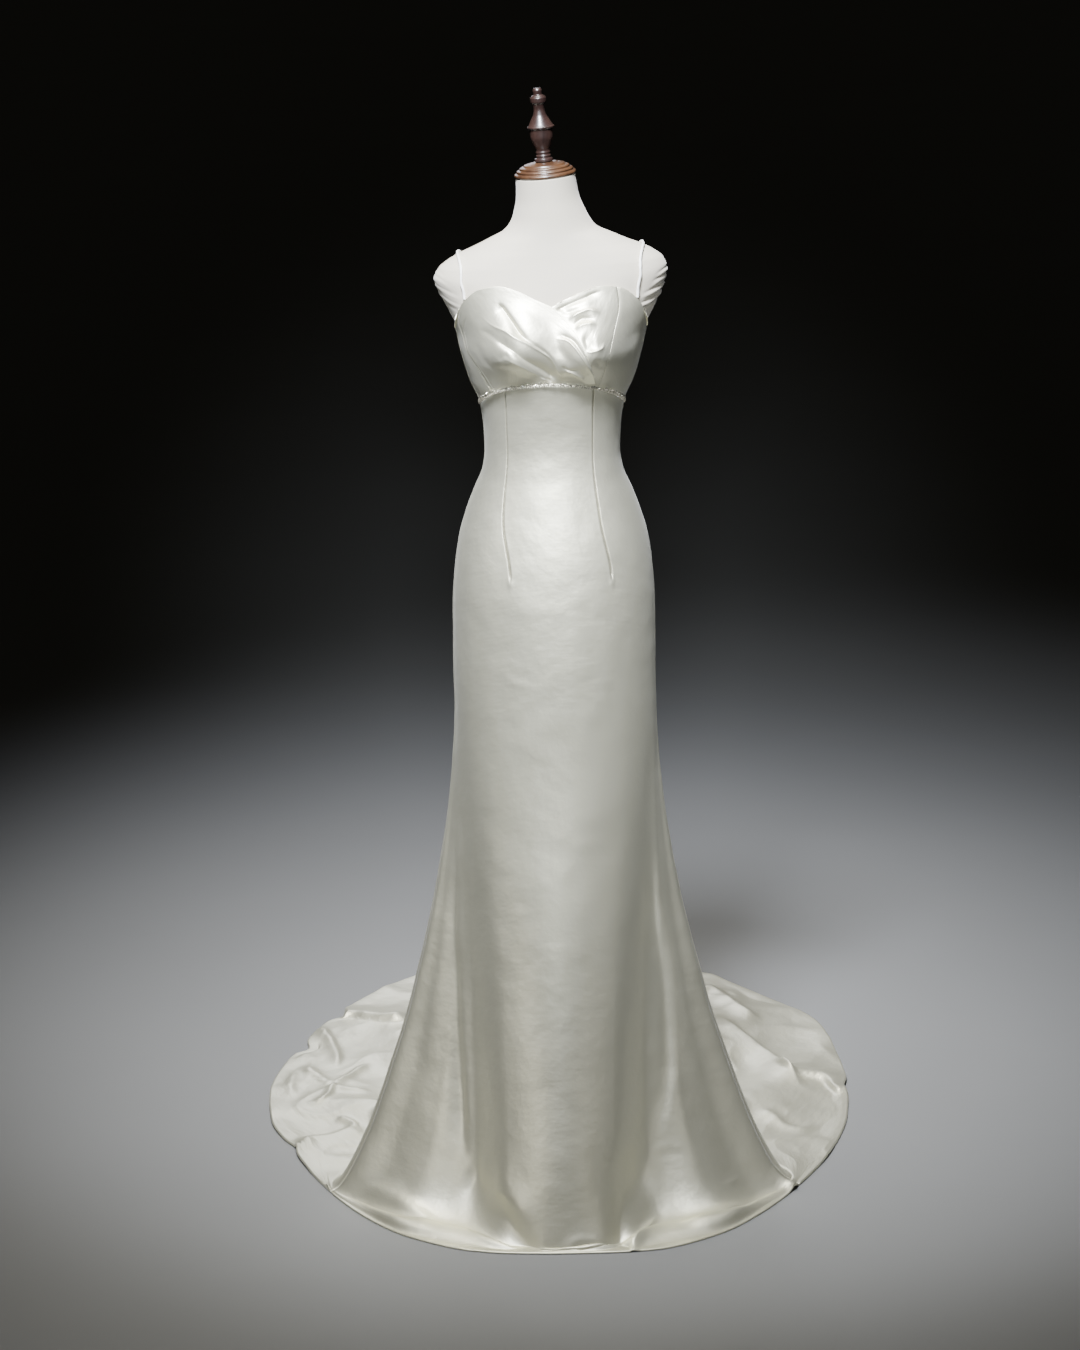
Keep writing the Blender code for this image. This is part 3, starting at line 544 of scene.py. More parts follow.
class Paint:
    """One material, with its nodes."""

    def __init__(self, name: str) -> None:
        """Starts a material with nothing but its shader and its output."""
        self.material = bpy.data.materials.new(name)
        self.material.use_nodes = True
        self.tree = self.material.node_tree
        self.tree.nodes.clear()
        self.shader = self.tree.nodes.new("ShaderNodeBsdfPrincipled")
        output = self.tree.nodes.new("ShaderNodeOutputMaterial")
        self.tree.links.new(self.shader.outputs[0], output.inputs[0])

    def set(self, node: bpy.types.Node, inputs: dict[str | int, object]) -> None:
        """Gives a node's sockets their values or links.

        Args:
            node: the node.
            inputs: the value or link of each socket, by name or number.
        """
        for key, value in inputs.items():
            if isinstance(value, Value):
                self.tree.links.new(value.socket, node.inputs[key])
            else:
                node.inputs[key].default_value = value

    def node(
        self,
        kind: str,
        settings: dict[str, object] | None = None,
        inputs: dict[str | int, object] | None = None,
        output: str | int = 0,
    ) -> Value:
        """Adds any node.

        Args:
            kind: the node's type.
            settings: its own settings, set first; "stops" are a ramp's (place, colour) pairs.
            inputs: the value or link of each socket.
            output: the socket that is wanted.

        Returns:
            That socket.
        """
        made = self.tree.nodes.new(kind)
        for key, value in (settings or {}).items():
            if key == "stops":
                while len(made.color_ramp.elements) < len(value):
                    made.color_ramp.elements.new(0.5)
                for element, (place, colour) in zip(made.color_ramp.elements, value, strict=True):
                    element.position = place
                    element.color = colour
            else:
                setattr(made, key, value)
        self.set(made, inputs or {})
        return Value(self, made.outputs[output])

    def noise(self, where: Value, scale: float, detail: float = 2.0, rough: float = 0.5) -> Value:
        """A soft noise from 0 to 1: its lumps to the metre, how many finer ones, and how strong."""
        inputs = {"Vector": where, "Scale": scale, "Detail": detail, "Roughness": rough}
        return self.node("ShaderNodeTexNoise", {}, inputs)

    def blend(self, share: Value, first: Colour, second: Colour | Value) -> Value:
        """A colour that is the second one where the share is 1."""
        return self.node("ShaderNodeMix", {"data_type": "RGBA"}, {0: share, 6: first, 7: second}, 2)

    def place(self, attribute: str | None = None) -> Value:
        """The place on the piece: a named attribute of its mesh, or its own coordinates."""
        if attribute:
            return self.node("ShaderNodeAttribute", {"attribute_name": attribute}, {}, "Vector")
        return self.node("ShaderNodeTexCoord", {}, {}, "Object")

    def scaled(self, where: Value, across: float, along: float, up: float = 1.0) -> Value:
        """A place stretched along its three ways, for streaks."""
        return self.node(
            "ShaderNodeVectorMath", {"operation": "MULTIPLY"}, {0: where, 1: (across, along, up)}
        )

    def bump(self, height: Value, distance: float, under: Value | None = None) -> Value:
        """The normal over a relief.

        Args:
            height: the relief, 0 to 1.
            distance: its depth in metres.
            under: a normal that it lies on.

        Returns:
            The normal.
        """
        inputs: dict[str | int, object] = {"Height": height, "Distance": distance, "Strength": 1.0}
        if under:
            inputs["Normal"] = under
        return self.node("ShaderNodeBump", {}, inputs)

    def done(self, **sockets: object) -> Finish:
        """Sets the shader's sockets, named with _ for a space, and gives the material."""
        self.set(self.shader, {key.replace("_", " "): value for key, value in sockets.items()})
        return self.material


def rgb(red: float, green: float, blue: float) -> Colour:
    """A colour as a socket takes it."""
    return (red, green, blue, 1.0)


@dataclass(frozen=True)
class Satin:
    """Heavy duchess satin: a fine close weave with a broad soft sheen and slight slubs."""

    name: str = "satin"
    colour: Colour = rgb(0.80, 0.780, 0.625)
    deep: Colour = rgb(0.755, 0.732, 0.565)
    # the dark brown of the painted shade in seams, darts and grooves
    painted_seam_shade: Colour = rgb(0.16, 0.145, 0.10)
    rough: float = 0.47
    metal: float = 0.80
    # to the metre, across and down the piece
    threads: Place = (160.0, 1800.0)
    slubs: Place = (26.0, 240.0)
    slub_depth: float = 0.00009
    crumple_depth: float = 0.0011

    def material(self) -> Finish:
        """Makes the material."""
        paint = Paint(self.name)
        grain = paint.place("grain")
        threads = paint.noise(paint.scaled(grain, *self.threads), 1.0, 1.0)
        slubs = paint.noise(paint.scaled(grain, *self.slubs), 1.0, 3.0)
        clouds = paint.noise(grain, 9.0, 4.0, 0.55)
        crumple = paint.noise(grain, 34.0, 3.0, 0.5)
        tone = paint.blend(clouds * 0.7 + slubs * 0.3, self.deep, self.colour)
        # the "fold" attribute falls to 0 in seams, darts and grooves, where the colour is blended
        # to the dark brown: painted shade
        open_cloth = paint.node("ShaderNodeAttribute", {"attribute_name": "fold"}, {}, "Fac")
        soft = paint.bump(crumple, self.crumple_depth)
        fine = paint.bump(threads * 0.35 + slubs * 0.65, self.slub_depth, soft)
        return paint.done(
            Base_Color=paint.blend(open_cloth, self.painted_seam_shade, tone),
            Roughness=slubs * 0.10 + clouds * 0.08 + (self.rough - 0.09),
            Normal=fine,
            Metallic=self.metal,
            Specular_IOR_Level=0.7,
            Sheen_Weight=0.12,
            Sheen_Roughness=0.45,
        )


@dataclass(frozen=True)
class Jersey:
    """The form's cover: a close stretch jersey, matt, with its fine ribs running down."""

    name: str = "jersey"
    colour: Colour = rgb(0.57, 0.528, 0.434)
    deep: Colour = rgb(0.49, 0.451, 0.363)
    ribs: Place = (1300.0, 300.0)  # to the metre, across and down
    rib_depth: float = 0.00012

    def material(self) -> Finish:
        """Makes the material."""
        paint = Paint(self.name)
        grain = paint.place("grain")
        ribs = paint.noise(paint.scaled(grain, *self.ribs), 1.0, 1.0)
        clouds = paint.noise(grain, 14.0, 4.0)
        fluff = paint.noise(grain, 420.0, 2.0)
        return paint.done(
            Base_Color=paint.blend(clouds * 0.6 + fluff * 0.4, self.deep, self.colour),
            Roughness=fluff * 0.10 + 0.74,
            Normal=paint.bump(ribs * 0.6 + fluff * 0.4, self.rib_depth),
            Specular_IOR_Level=0.3,
            Sheen_Weight=0.25,
            Sheen_Roughness=0.5,
        )


@dataclass(frozen=True)
class VarnishedWood:
    """Dark turned wood under a gloss varnish, its grain running up the turning."""

    name: str
    pale: Colour
    dark: Colour

    def material(self) -> Finish:
        """Makes the material."""
        paint = Paint(self.name)
        where = paint.place()
        grain = paint.noise(paint.scaled(where, 60.0, 60.0, 7.0), 1.0, 5.0, 0.6)
        pores = paint.noise(paint.scaled(where, 420.0, 420.0, 30.0), 1.0, 2.0)
        streaks = paint.node(
            "ShaderNodeValToRGB",
            {"stops": [(0.36, self.dark), (0.66, self.pale)]},
            {"Fac": grain * 0.8 + pores * 0.2},
        )
        return paint.done(
            Base_Color=streaks,
            Roughness=pores * 0.12 + 0.34,
            Normal=paint.bump(pores, 0.00008),
            Coat_Weight=0.5,
            Coat_Roughness=0.22,
        )


@dataclass(frozen=True)
class Enamel:
    """Stove enamel on cast iron and tube: near black, faintly pebbled, worn in patches."""

    name: str = "iron"
    colour: Colour = rgb(0.035, 0.035, 0.038)
    worn: Colour = rgb(0.09, 0.088, 0.085)

    def material(self) -> Finish:
        """Makes the material."""
        paint = Paint(self.name)
        where = paint.place()
        pebbles = paint.noise(where, 260.0, 2.0)
        rubbed = paint.noise(where, 22.0, 5.0, 0.6) ** 3.0
        return paint.done(
            Base_Color=paint.blend(rubbed, self.colour, self.worn),
            Roughness=rubbed * 0.3 + pebbles * 0.1 + 0.34,
            Normal=paint.bump(pebbles, 0.0002),
            Metallic=0.3,
        )


@dataclass(frozen=True)
class Nickel:
    """The bright plating of the zip's slider and tab, finely brushed along its length."""

    name: str = "zip_metal"

    def material(self) -> Finish:
        """Makes the material."""
        paint = Paint(self.name)
        brushed = paint.noise(paint.scaled(paint.place(), 9000.0, 9000.0, 500.0), 1.0, 2.0)
        rubbed = paint.noise(paint.place(), 700.0, 3.0)
        return paint.done(
            Base_Color=paint.blend(rubbed, rgb(0.56, 0.56, 0.57), rgb(0.72, 0.72, 0.71)),
            Roughness=brushed * 0.16 + rubbed * 0.08 + 0.16,
            Normal=paint.bump(brushed, 0.00001),
            Metallic=1.0,
        )


@dataclass(frozen=True)
class Nylon:
    """Ivory nylon: the coil of the zip, slightly clear and smooth."""

    name: str = "nylon"

    def material(self) -> Finish:
        """Makes the material."""
        paint = Paint(self.name)
        cloudy = paint.noise(paint.place(), 900.0, 3.0)
        return paint.done(
            Base_Color=paint.blend(cloudy, rgb(0.70, 0.685, 0.63), rgb(0.80, 0.79, 0.75)),
            Roughness=cloudy * 0.15 + 0.28,
            Normal=paint.bump(cloudy, 0.00003),
        )


@dataclass(frozen=True)
class PearlGloss:
    """The small pearls of the trim: creamy, with a clear hard coat."""

    name: str = "pearl"

    def material(self) -> Finish:
        """Makes the material."""
        paint = Paint(self.name)
        cloudy = paint.noise(paint.place(), 500.0, 2.0)
        return paint.done(
            Base_Color=paint.blend(cloudy, rgb(0.34, 0.315, 0.25), rgb(0.27, 0.247, 0.19)),
            Roughness=cloudy * 0.10 + 0.16,
            Coat_Weight=0.7,
            Coat_Roughness=0.06,
        )


@dataclass(frozen=True)
class Crystal:
    """Cut glass beads backed with foil, which throw back light from their facets."""

    name: str = "crystal"

    def material(self) -> Finish:
        """Makes the material."""
        paint = Paint(self.name)
        flecks = paint.noise(paint.place(), 1500.0, 0.0)
        return paint.done(
            Base_Color=paint.blend(flecks, rgb(0.08, 0.073, 0.05), rgb(0.50, 0.48, 0.40)),
            Roughness=flecks * 0.10 + 0.04,
            Metallic=0.65,
            Coat_Weight=1.0,
            Coat_Roughness=0.03,
        )


@dataclass(frozen=True)
class Plaster:
    """The floor: a plain grey screed."""

    name: str = "floor"

    def material(self) -> Finish:
        """Makes the material."""
        paint = Paint(self.name)
        cloudy = paint.noise(paint.place(), 1.4, 4.0)
        return paint.done(
            Base_Color=paint.blend(cloudy, rgb(0.22, 0.22, 0.218), rgb(0.25, 0.25, 0.248)),
            Roughness=cloudy * 0.1 + 0.75,
            Specular_IOR_Level=0.2,
        )


# ---- cloth ----
CREASE_TIP = 0.0008
CREASE_POINTS = 28
LEAST_HEIGHT = 0.0002  # of the cloth's inner face above the floor


class Seen(Enum):
    """The side from which a crease's places are given, as the two axes that it shows."""

    FRONT = (0, 2)
    ABOVE = (0, 1)


@dataclass(frozen=True)
class Crease:
    """One crease, as a run of places with a height, a width and a way of dying away.

    The places, the height, the width and the lip are in millimetres. Where ledge is above 0 the
    side to the left of its run is steeper, and below 0 the other side. Start and end are the
    shares of the run in which it rises and dies away. Crisp runs from 0, a soft roll, to 1, a
    pressed line. Lip is the height of the narrow rim on a pressed line. A height below 0 makes a
    trough.
    """

    run: tuple[Place, ...]
    height: float
    width: float
    ledge: float = 0.0
    start: float = 0.25
    end: float = 0.25
    crisp: float = 0.0
    lip: float = 0.0

    def lift(self, flat: Array) -> Array:
        """The crease's height at each place.

        Args:
            flat: the places, in the two axes of the run, in metres.

        Returns:
            The height at each of them, in metres.
        """
        line = smooth_path(np.array(self.run) / 1000, CREASE_POINTS)
        height, width, lip = self.height / 1000, self.width / 1000, self.lip / 1000
        reach = width * (1 + abs(self.ledge)) * (2.6 + 1.4 * self.crisp)
        low, high = line.min(0) - reach, line.max(0) + reach
        near = np.nonzero(np.all((flat > low) & (flat < high), axis=1))[0]
        made = np.zeros(len(flat))
        if not len(near):
            return made
        start, step = line[:-1], np.diff(line, axis=0)
        away = flat[near, None] - start[None]
        t = np.clip((away * step).sum(-1) / (step**2).sum(-1), 0, 1)
        far = np.linalg.norm(away - t[..., None] * step, axis=-1)
        nearest = (np.arange(len(near)), far.argmin(1))
        away, far, way = away[nearest], far[nearest], step[nearest[1]]
        across = way[:, 0] * away[:, 1] - way[:, 1] * away[:, 0]
        share = (nearest[1] + t[nearest]) / len(step)
        wide = width * np.where(across > 0, 1 - 0.86 * self.ledge, 1 + self.ledge)
        ends = 1.0
        if self.start:
            ends = ends * ease_in(share / self.start)
        if self.end:
            ends = ends * ease_in((1 - share) / self.end)
        gone = (np.hypot(far, CREASE_TIP * self.crisp) / wide) ** (2 - 0.85 * self.crisp)
        made[near] = (height * np.exp(-gone) + lip * bell(far, CREASE_TIP * 2)) * ends
        return made


def creased(
    points: Array, creases: Sequence[Crease], seen: Seen, where: Array | float = 1.0
) -> Array:
    """The height of all the creases of one side.

    Args:
        points: the cloth before it is creased, rows x columns x 3.
        creases: the creases.
        seen: the side from which their places are given.
        where: how much of them each point takes.

    Returns:
        The height at each point, rows x columns.
    """
    flat = points[..., list(seen.value)].reshape(-1, 2)
    made = sum((c.lift(flat) for c in creases), np.zeros(len(flat)))
    return made.reshape(points.shape[:-1]) * where


def unevenness(points: Array, size: float, seed: float) -> Array:
    """The soft dents that any hung cloth has, from -1 to 1.

    Args:
        points: rows x columns x 3.
        size: the width of a dent.
        seed: which set of dents.

    Returns:
        The height at each point.
    """
    flat = points.reshape(-1, 3) / size + seed
    made = np.array([noise.noise(Vector(p)) for p in flat])
    return made.reshape(points.shape[:-1])


def crumpled(points: Array, size: float, seed: float) -> Array:
    """The sharp ridges and flat faces, of a size, of stiff cloth that was pushed together."""
    return np.clip(1 - 2.2 * np.abs(unevenness(points, size, seed)), 0, 1) ** 1.5


def relaxed(points: Array, near: Array, reach: int) -> Array:
    """A grid whose sharp turns down its rows are rounded.

    Args:
        points: rows x columns x 3.
        near: how much each row is rounded, from 0 to 1.
        reach: how many rows to each side are averaged.

    Returns:
        The new points.
    """
    weights = np.hanning(2 * reach + 3)[1:-1]
    padded = np.pad(points, ((reach, reach), (0, 0), (0, 0)), mode="edge")
    rounded = sum(w * padded[k:k + len(points)] for k, w in enumerate(weights)) / weights.sum()
    return points + (rounded - points) * near[:, None, None]


def ways_out(points: Array) -> Array:
    """The outward normals of a grid whose rows run down and whose columns run round."""
    return unit(np.cross(np.gradient(points, axis=0), np.gradient(points, axis=1)))


def faces_of(*corners: Array) -> Faces:
    """Faces from the numbers of all their first corners, all their second ones and so on."""
    return np.stack(corners, axis=-1).reshape(-1, len(corners)).tolist()


def closed_grid(rows: int, sides: int, first: int = 0) -> tuple[Array, Array]:
    """The numbers of a closed grid's points, and of their neighbours one step round."""
    index = first + np.arange(rows * sides).reshape(rows, sides)
    return index, np.roll(index, -1, axis=1)


def keep_grain(mesh: bpy.types.Mesh, grain: Array, shade: Array | None = None) -> None:
    """Keeps on a mesh what its finish reads.

    Args:
        mesh: the mesh.
        grain: how far each point lies across and down the cloth.
        shade: 1 on open cloth, down to 0 in a seam, for a finish that paints shade there from it.
    """
    across = mesh.attributes.new("grain", "FLOAT_VECTOR", "POINT")
    across.data.foreach_set("vector", grain.astype(np.float32).ravel())
    if shade is not None:
        # kept as the "fold" attribute, which the satin turns into painted shade
        fold = mesh.attributes.new("fold", "FLOAT", "POINT")
        fold.data.foreach_set("value", shade.astype(np.float32))


def shown(name: str, data: bpy.types.ID) -> Piece:
    """Puts an object into the scene.

    Args:
        name: its name.
        data: its mesh, lamp or camera.

    Returns:
        The object.
    """
    made = bpy.data.objects.new(name, data)
    bpy.context.scene.collection.objects.link(made)
    return made


def as_piece(name: str, shape: Shape, finish: Finish, node: str) -> Piece:
    """Makes a piece that rides on the gown's body.

    Args:
        name: its name.
        shape: its points and faces.
        finish: its material.
        node: the CAD node that it replaces.

    Returns:
        The piece.
    """
    mesh = bpy.data.meshes.new(name)
    mesh.from_pydata(shape[0].tolist(), [], shape[1])
    mesh.materials.append(finish)
    mesh.shade_smooth()
    made = shown(name, mesh)
    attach(made, BODY)
    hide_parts(node)
    return made


@dataclass
class Shell:
    """A closed thin wall of satin on a grid of places, with an edge that may be rolled.

    The inner face has every second point, which is enough for what hardly shows. The edges are in
    the order top, bottom, first column and last column.
    """

    node: str
    outer: Array
    thick: Array | float = CLOTH
    rolled: tuple[Array | float, Array | float, Array | float, Array | float] = (0, 0, 0, 0)
    shade: Array | float = 1.0
    edge_rings: tuple[float, ...] = (0.25, 0.5, 0.75)  # the shares of a half turn round the edge

    def build(self, satin: Finish) -> Piece:
        """Makes the piece.

        Args:
            satin: its material.

        Returns:
            The piece.
        """
        outer, shape = self.outer, self.outer.shape[:2]
        thick = np.broadcast_to(np.asarray(self.thick, float), shape)
        inner = outer - ways_out(outer) * thick[..., None]
        inner[..., 2] = np.maximum(inner[..., 2], LEAST_HEIGHT)
        index = np.arange(shape[0] * shape[1]).reshape(shape)
        faces = faces_of(index[:-1, :-1], index[1:, :-1], index[1:, 1:], index[:-1, 1:])

        rim = self._rim()
        away, roll = self._edges()
        points, rings, total = [outer.reshape(-1, 3)], [index[rim]], index.size
        for turn in self.edge_rings:
            share, reach = (1 - math.cos(math.pi * turn)) / 2, math.sin(math.pi * turn)
            bulge = away[rim] * (thick[rim][:, None] / 2) * reach * roll[rim][:, None]
            points.append(outer[rim] + (inner[rim] - outer[rim]) * share + bulge)
            rings.append(np.arange(total, total + len(rim[0])))
            total += len(rim[0])

        keep = np.zeros(shape, bool)
        keep[::2, ::2] = keep[[0, -1]] = keep[:, [0, -1]] = True
        under = np.full(shape, -1)
        under[keep] = np.arange(total, total + keep.sum())
        points.append(inner[keep])
        rings.append(under[rim])
        for low, high in zip(rings, rings[1:], strict=False):
            faces += faces_of(low, np.roll(low, -1), np.roll(high, -1), high)
        for i in range(0, shape[0] - 1, 2):
            faces += [self._cell(under, i, j) for j in range(0, shape[1] - 1, 2)]

        wall = (np.concatenate(points), faces)
        made = as_piece(self.node + "_satin", wall, satin, self.node)
        order = np.concatenate([index.ravel(), *[rings[0]] * len(self.edge_rings), index[keep]])
        shade = np.broadcast_to(np.asarray(self.shade, float), shape)
        keep_grain(made.data, self._grain().reshape(-1, 3)[order], shade.ravel()[order])
        made.data.validate()
        return made

    def _rim(self) -> tuple[Array, Array]:
        """The rows and the columns of the points along the edge, once round it."""
        rows, columns = self.outer.shape[0] - 1, self.outer.shape[1] - 1
        loop = [(0, j) for j in range(columns)] + [(i, columns) for i in range(rows)]
        loop += [(rows, j) for j in range(columns, 0, -1)] + [(i, 0) for i in range(rows, 0, -1)]
        rim = np.array(loop)
        return rim[:, 0], rim[:, 1]

    def _edges(self) -> tuple[Array, Array]:
        """The way out past each edge, and how much of it is rolled."""
        away = np.zeros(self.outer.shape)
        away[0] += self.outer[0] - self.outer[1]
        away[-1] += self.outer[-1] - self.outer[-2]
        away[:, 0] += self.outer[:, 0] - self.outer[:, 1]
        away[:, -1] += self.outer[:, -1] - self.outer[:, -2]
        roll = np.zeros(self.outer.shape[:2])
        top, bottom, first, last = self.rolled
        roll[:, 0], roll[:, -1] = first, last
        roll[0] = np.maximum(roll[0], top)
        roll[-1] = np.maximum(roll[-1], bottom)
        return unit(away), roll

    @staticmethod
    def _cell(under: Array, i: int, j: int) -> list[int]:
        """One face of the inner side, which takes in every point on the rim.

        Args:
            under: the numbers of the inner points, -1 where there is none.
            i: its first row.
            j: its first column.

        Returns:
            The numbers of its points.
        """
        low, far = min(i + 2, under.shape[0] - 1), min(j + 2, under.shape[1] - 1)
        walk = [(k, j) for k in range(i, low)] + [(low, k) for k in range(j, far)]
        walk += [(k, far) for k in range(low, i, -1)] + [(i, k) for k in range(far, j, -1)]
        return [int(under[p]) for p in reversed(walk) if under[p] >= 0]

    def _grain(self) -> Array:
        """How far each point lies across and down the piece, in metres of cloth."""
        across = np.linalg.norm(np.diff(self.outer, axis=1), axis=-1)
        down = np.linalg.norm(np.diff(self.outer, axis=0), axis=-1)
        made = np.zeros(self.outer.shape)
        made[:, 1:, 0] = np.cumsum(across, axis=1)
        made[..., 0] -= made[:, made.shape[1] // 2, 0][:, None]
        made[1:, :, 1] = np.cumsum(down, axis=0)
        return made


# ---- the gown ----
# (height, x) of each dart in the front panel
DART_RIGHT = line_of(
    ((0.80, -0.068), (1.03, -0.068), (1.12, -0.078), (1.222, -0.070), (1.343, -0.073))
)
DART_LEFT = line_of(((0.80, 0.092), (1.03, 0.090), (1.12, 0.073), (1.222, 0.062), (1.343, 0.063)))


@dataclass
class Skirt:
    """The front panel with its two darts, and the two back panels that run on into the train."""

    satin: Finish
    dart_end: float = 1.030
    dart_depth: float = 0.0024
    dart_width: float = 0.0015
    dart_radius: float = 0.135  # from the body's middle, which turns an angle into a distance
    pucker: float = 0.0014  # the little blister below the end of a dart
    lap: float = 0.0008  # how far the pressed side of a dart stands up
    lap_width: float = 0.006
    seam_turn: float = 1.7  # how far the side seams turn back below the hip line, in degrees
    seam_depth: float = 0.0005
    seam_width: float = 0.0014
    seam_radius: float = 0.15
    hem_flat: float = 0.006
    hem_deep: float = 0.045
    hem_lift: float = 0.0012
    hem_roll: float = 0.0120  # how far the front's edge stands off the floor in its turn
    front_hem: float = 0.0032  # the thickness of the turned-up hems
    train_hem: float = 0.0052
    floor_gap: float = 0.0003
    landing: float = 2.0  # the station at which the cloth reaches the floor
    landing_reach: int = 11  # rows that round its turn on to the floor
    valleys: Place = (-65.0, 65.0)  # the troughs on both sides of the front, in degrees
    valley_width: float = 7.0
    valley_reach: int = 12  # columns that round each of them
    open_from: float = 11.0  # degrees from a side seam at which the front's own creases are full
    straight_middle: float = 28.0  # degrees of the hem's middle that hang straight down
    front_creases: tuple[Crease, ...] = (
        # the trough at the wearer's right, which turns in under the front near the floor
        Crease(((-160, 600), (-168, 439), (-166, 387), (-164, 288), (-161, 233), (-158, 182),
                (-156, 130), (-150, 97), (-137, 74)), -5, 10.5, 0.35, 0.3, 0.2, 0.4),
        Crease(((-146, 440), (-150, 336), (-148, 232), (-143, 136), (-134, 91), (-118, 72)), 2.4,
               12, 0, 0.3, 0.3),
        # the trough at the left, and the full flute beyond it
        Crease(((150, 600), (161, 439), (169, 387), (174, 330), (176, 279), (177, 225), (172, 180),
                (160, 140), (146, 105)), -7, 12, 0.45, 0.3, 0.3),
        Crease(((200, 500), (210, 386), (219, 300), (228, 214), (236, 118)), 4, 24, 0, 0.3, 0.3),
        Crease(((250, 290), (264, 230), (280, 160), (294, 105), (306, 55)), -5, 10, -0.3, 0.3, 0.2,
               0.4),
        Crease(((-196, 400), (-206, 280), (-214, 180)), 3, 16, 0, 0.4, 0.4),
        # small crinkles
        Crease(((262, 30), (272, 34), (286, 33), (298, 20)), 2.4, 4, 0.4),
        Crease(((-108, 64), (-94, 70), (-80, 68)), 1.4, 3, 0),
        Crease(((142, 96), (162, 104), (182, 105)), 0.6, 4.6, 0.4),
        Crease(((150, 86), (176, 92), (204, 88)), -0.7, 5.6, 0),
        Crease(((-84, 880), (-62, 868), (-40, 862)), 0.7, 5, 0.3),
        Crease(((-48, 742), (-20, 750), (6, 748)), 0.6, 5.5, 0),
        Crease(((16, 610), (44, 602), (70, 606)), 0.6, 6, 0),
    )
    floor_creases: tuple[Crease, ...] = (
        # the front hem
        Crease(((-148, -172), (-118, -228), (-98, -268), (-76, -300), (-50, -325)), -10, 16, 0.3,
               0.15, 0, 0.3),
        Crease(((-134, -180), (-102, -245), (-66, -285), (-28, -312)), 4.5, 9, 0, 0.2, 0.3, 0.3),
        Crease(((140, -176), (120, -215), (100, -262), (92, -300), (98, -338)), -9, 16, 0.4, 0.2, 0,
               0.3),
        Crease(((152, -226), (132, -270), (114, -312), (104, -344)), 5, 9, -0.3, 0.4, 0, 0.4),
        Crease(((-16, -334), (20, -322), (52, -314), (76, -306)), 2.2, 6, 0.5, 0.3, 0.3, 0.5),
        Crease(((-346, -102), (-296, -140), (-240, -200), (-190, -250)), 6, 14, 0.2, 0.3, 0.3),
        Crease(((190, -260), (250, -226), (300, -180)), 5, 16, 0, 0.3, 0.3),
        # the train at the wearer's right: a flap, the star of creases and the fold by the body
        Crease(((-440, 84), (-431, 91), (-412, 101), (-390, 108), (-367, 123), (-351, 137),
                (-330, 152)), 9, 26, 0.7, 0, 0.3),
        Crease(((-398, 322), (-421, 355), (-440, 385), (-468, 410)), 6, 8, 0.3, 0.1, 0.3, 0.7),
        Crease(((-398, 322), (-377, 355), (-357, 395), (-330, 430)), 6.4, 9, 0.3, 0.1, 0.3, 0.7),
        Crease(((-395, 327), (-401, 274), (-414, 248), (-440, 230)), 5.6, 8, 0.3, 0.1, 0.4, 0.7),
        Crease(((-398, 322), (-360, 300), (-320, 290)), 5, 8, 0.3, 0.1, 0.4, 0.7),
        Crease(((-434, 597), (-418, 550), (-404, 502), (-393, 437), (-394, 390)), 7, 10, 0.4, 0.1,
               0.3, 0.7),
        Crease(((-471, 465), (-450, 503), (-431, 509)), -4, 8, 0, 0, 0.3),
        Crease(((-382, 188), (-358, 167), (-344, 148)), 5, 7, 0.4, 0.3, 0.1, 0.6),
        Crease(((-410, 657), (-383, 655), (-346, 633), (-314, 618), (-270, 600)), 10, 28, -0.66,
               0.1, 0.2),
        Crease(((-460, 260), (-470, 330), (-466, 400)), 4, 11, 0, 0.3, 0.3, 0.4),
        # the train at the left: two long folds from the body, the lobe at their end, and the corner
        Crease(((270, 780), (298, 748), (334, 659), (355, 622), (380, 592)), 9, 15, 0.5, 0.2, 0.3,
               0.6),
        Crease(((300, 600), (320, 552), (353, 487), (390, 407), (413, 328), (430, 296)), 12, 22,
               0.75, 0.2, 0.15, 0.5),
        Crease(((392, 400), (408, 350), (431, 341), (460, 336), (481, 308), (494, 262)), 9, 20,
               -0.6, 0.15, 0.1),
        Crease(((340, 185), (361, 173), (384, 135), (408, 123), (439, 143)), 6, 12, 0.4, 0.2, 0.3,
               0.6),
        Crease(((350, -80), (372, -98), (384, -107)), 8, 10, 0.4, 0.3, 0),
        # the middle of the train, which the body hides from the front
        Crease(((-210, 520), (-236, 640), (-240, 760), (-226, 850)), 10, 20, 0.5, 0.3, 0.2, 0.4),
        Crease(((-80, 560), (-96, 690), (-90, 830), (-104, 930)), 8, 17, -0.4, 0.3, 0.1, 0.5),
        Crease(((110, 540), (130, 680), (116, 800), (140, 900)), 9, 18, 0.4, 0.3, 0.1, 0.5),
        Crease(((210, 640), (250, 720), (300, 770)), 7, 13, -0.3, 0.3, 0.2, 0.6),
    )
    # (x, y, depth) of the nicks in the train's edge
    nicks: tuple[tuple[float, float, float], ...] = (
        (-0.458, 0.505, 0.020), (-0.408, 0.662, 0.016), (-0.442, 0.078, 0.010),
        (0.496, 0.300, 0.008),
    )
    nick_width: float = 0.022

    def hem(self, station: Array, length: Array | float) -> Array:
        """How much of the hem's swelling each station has, for a length of lying cloth."""
        return ease_in(1 - ((3 - station) * length - self.hem_flat) / self.hem_deep)

    def side_seam(self, station: Array) -> Array:
        """The angle of the wearer's left side seam at each station, in degrees."""
        return SIDE_SEAM + self.seam_turn * ease_in((station - 0.6) / 0.8)

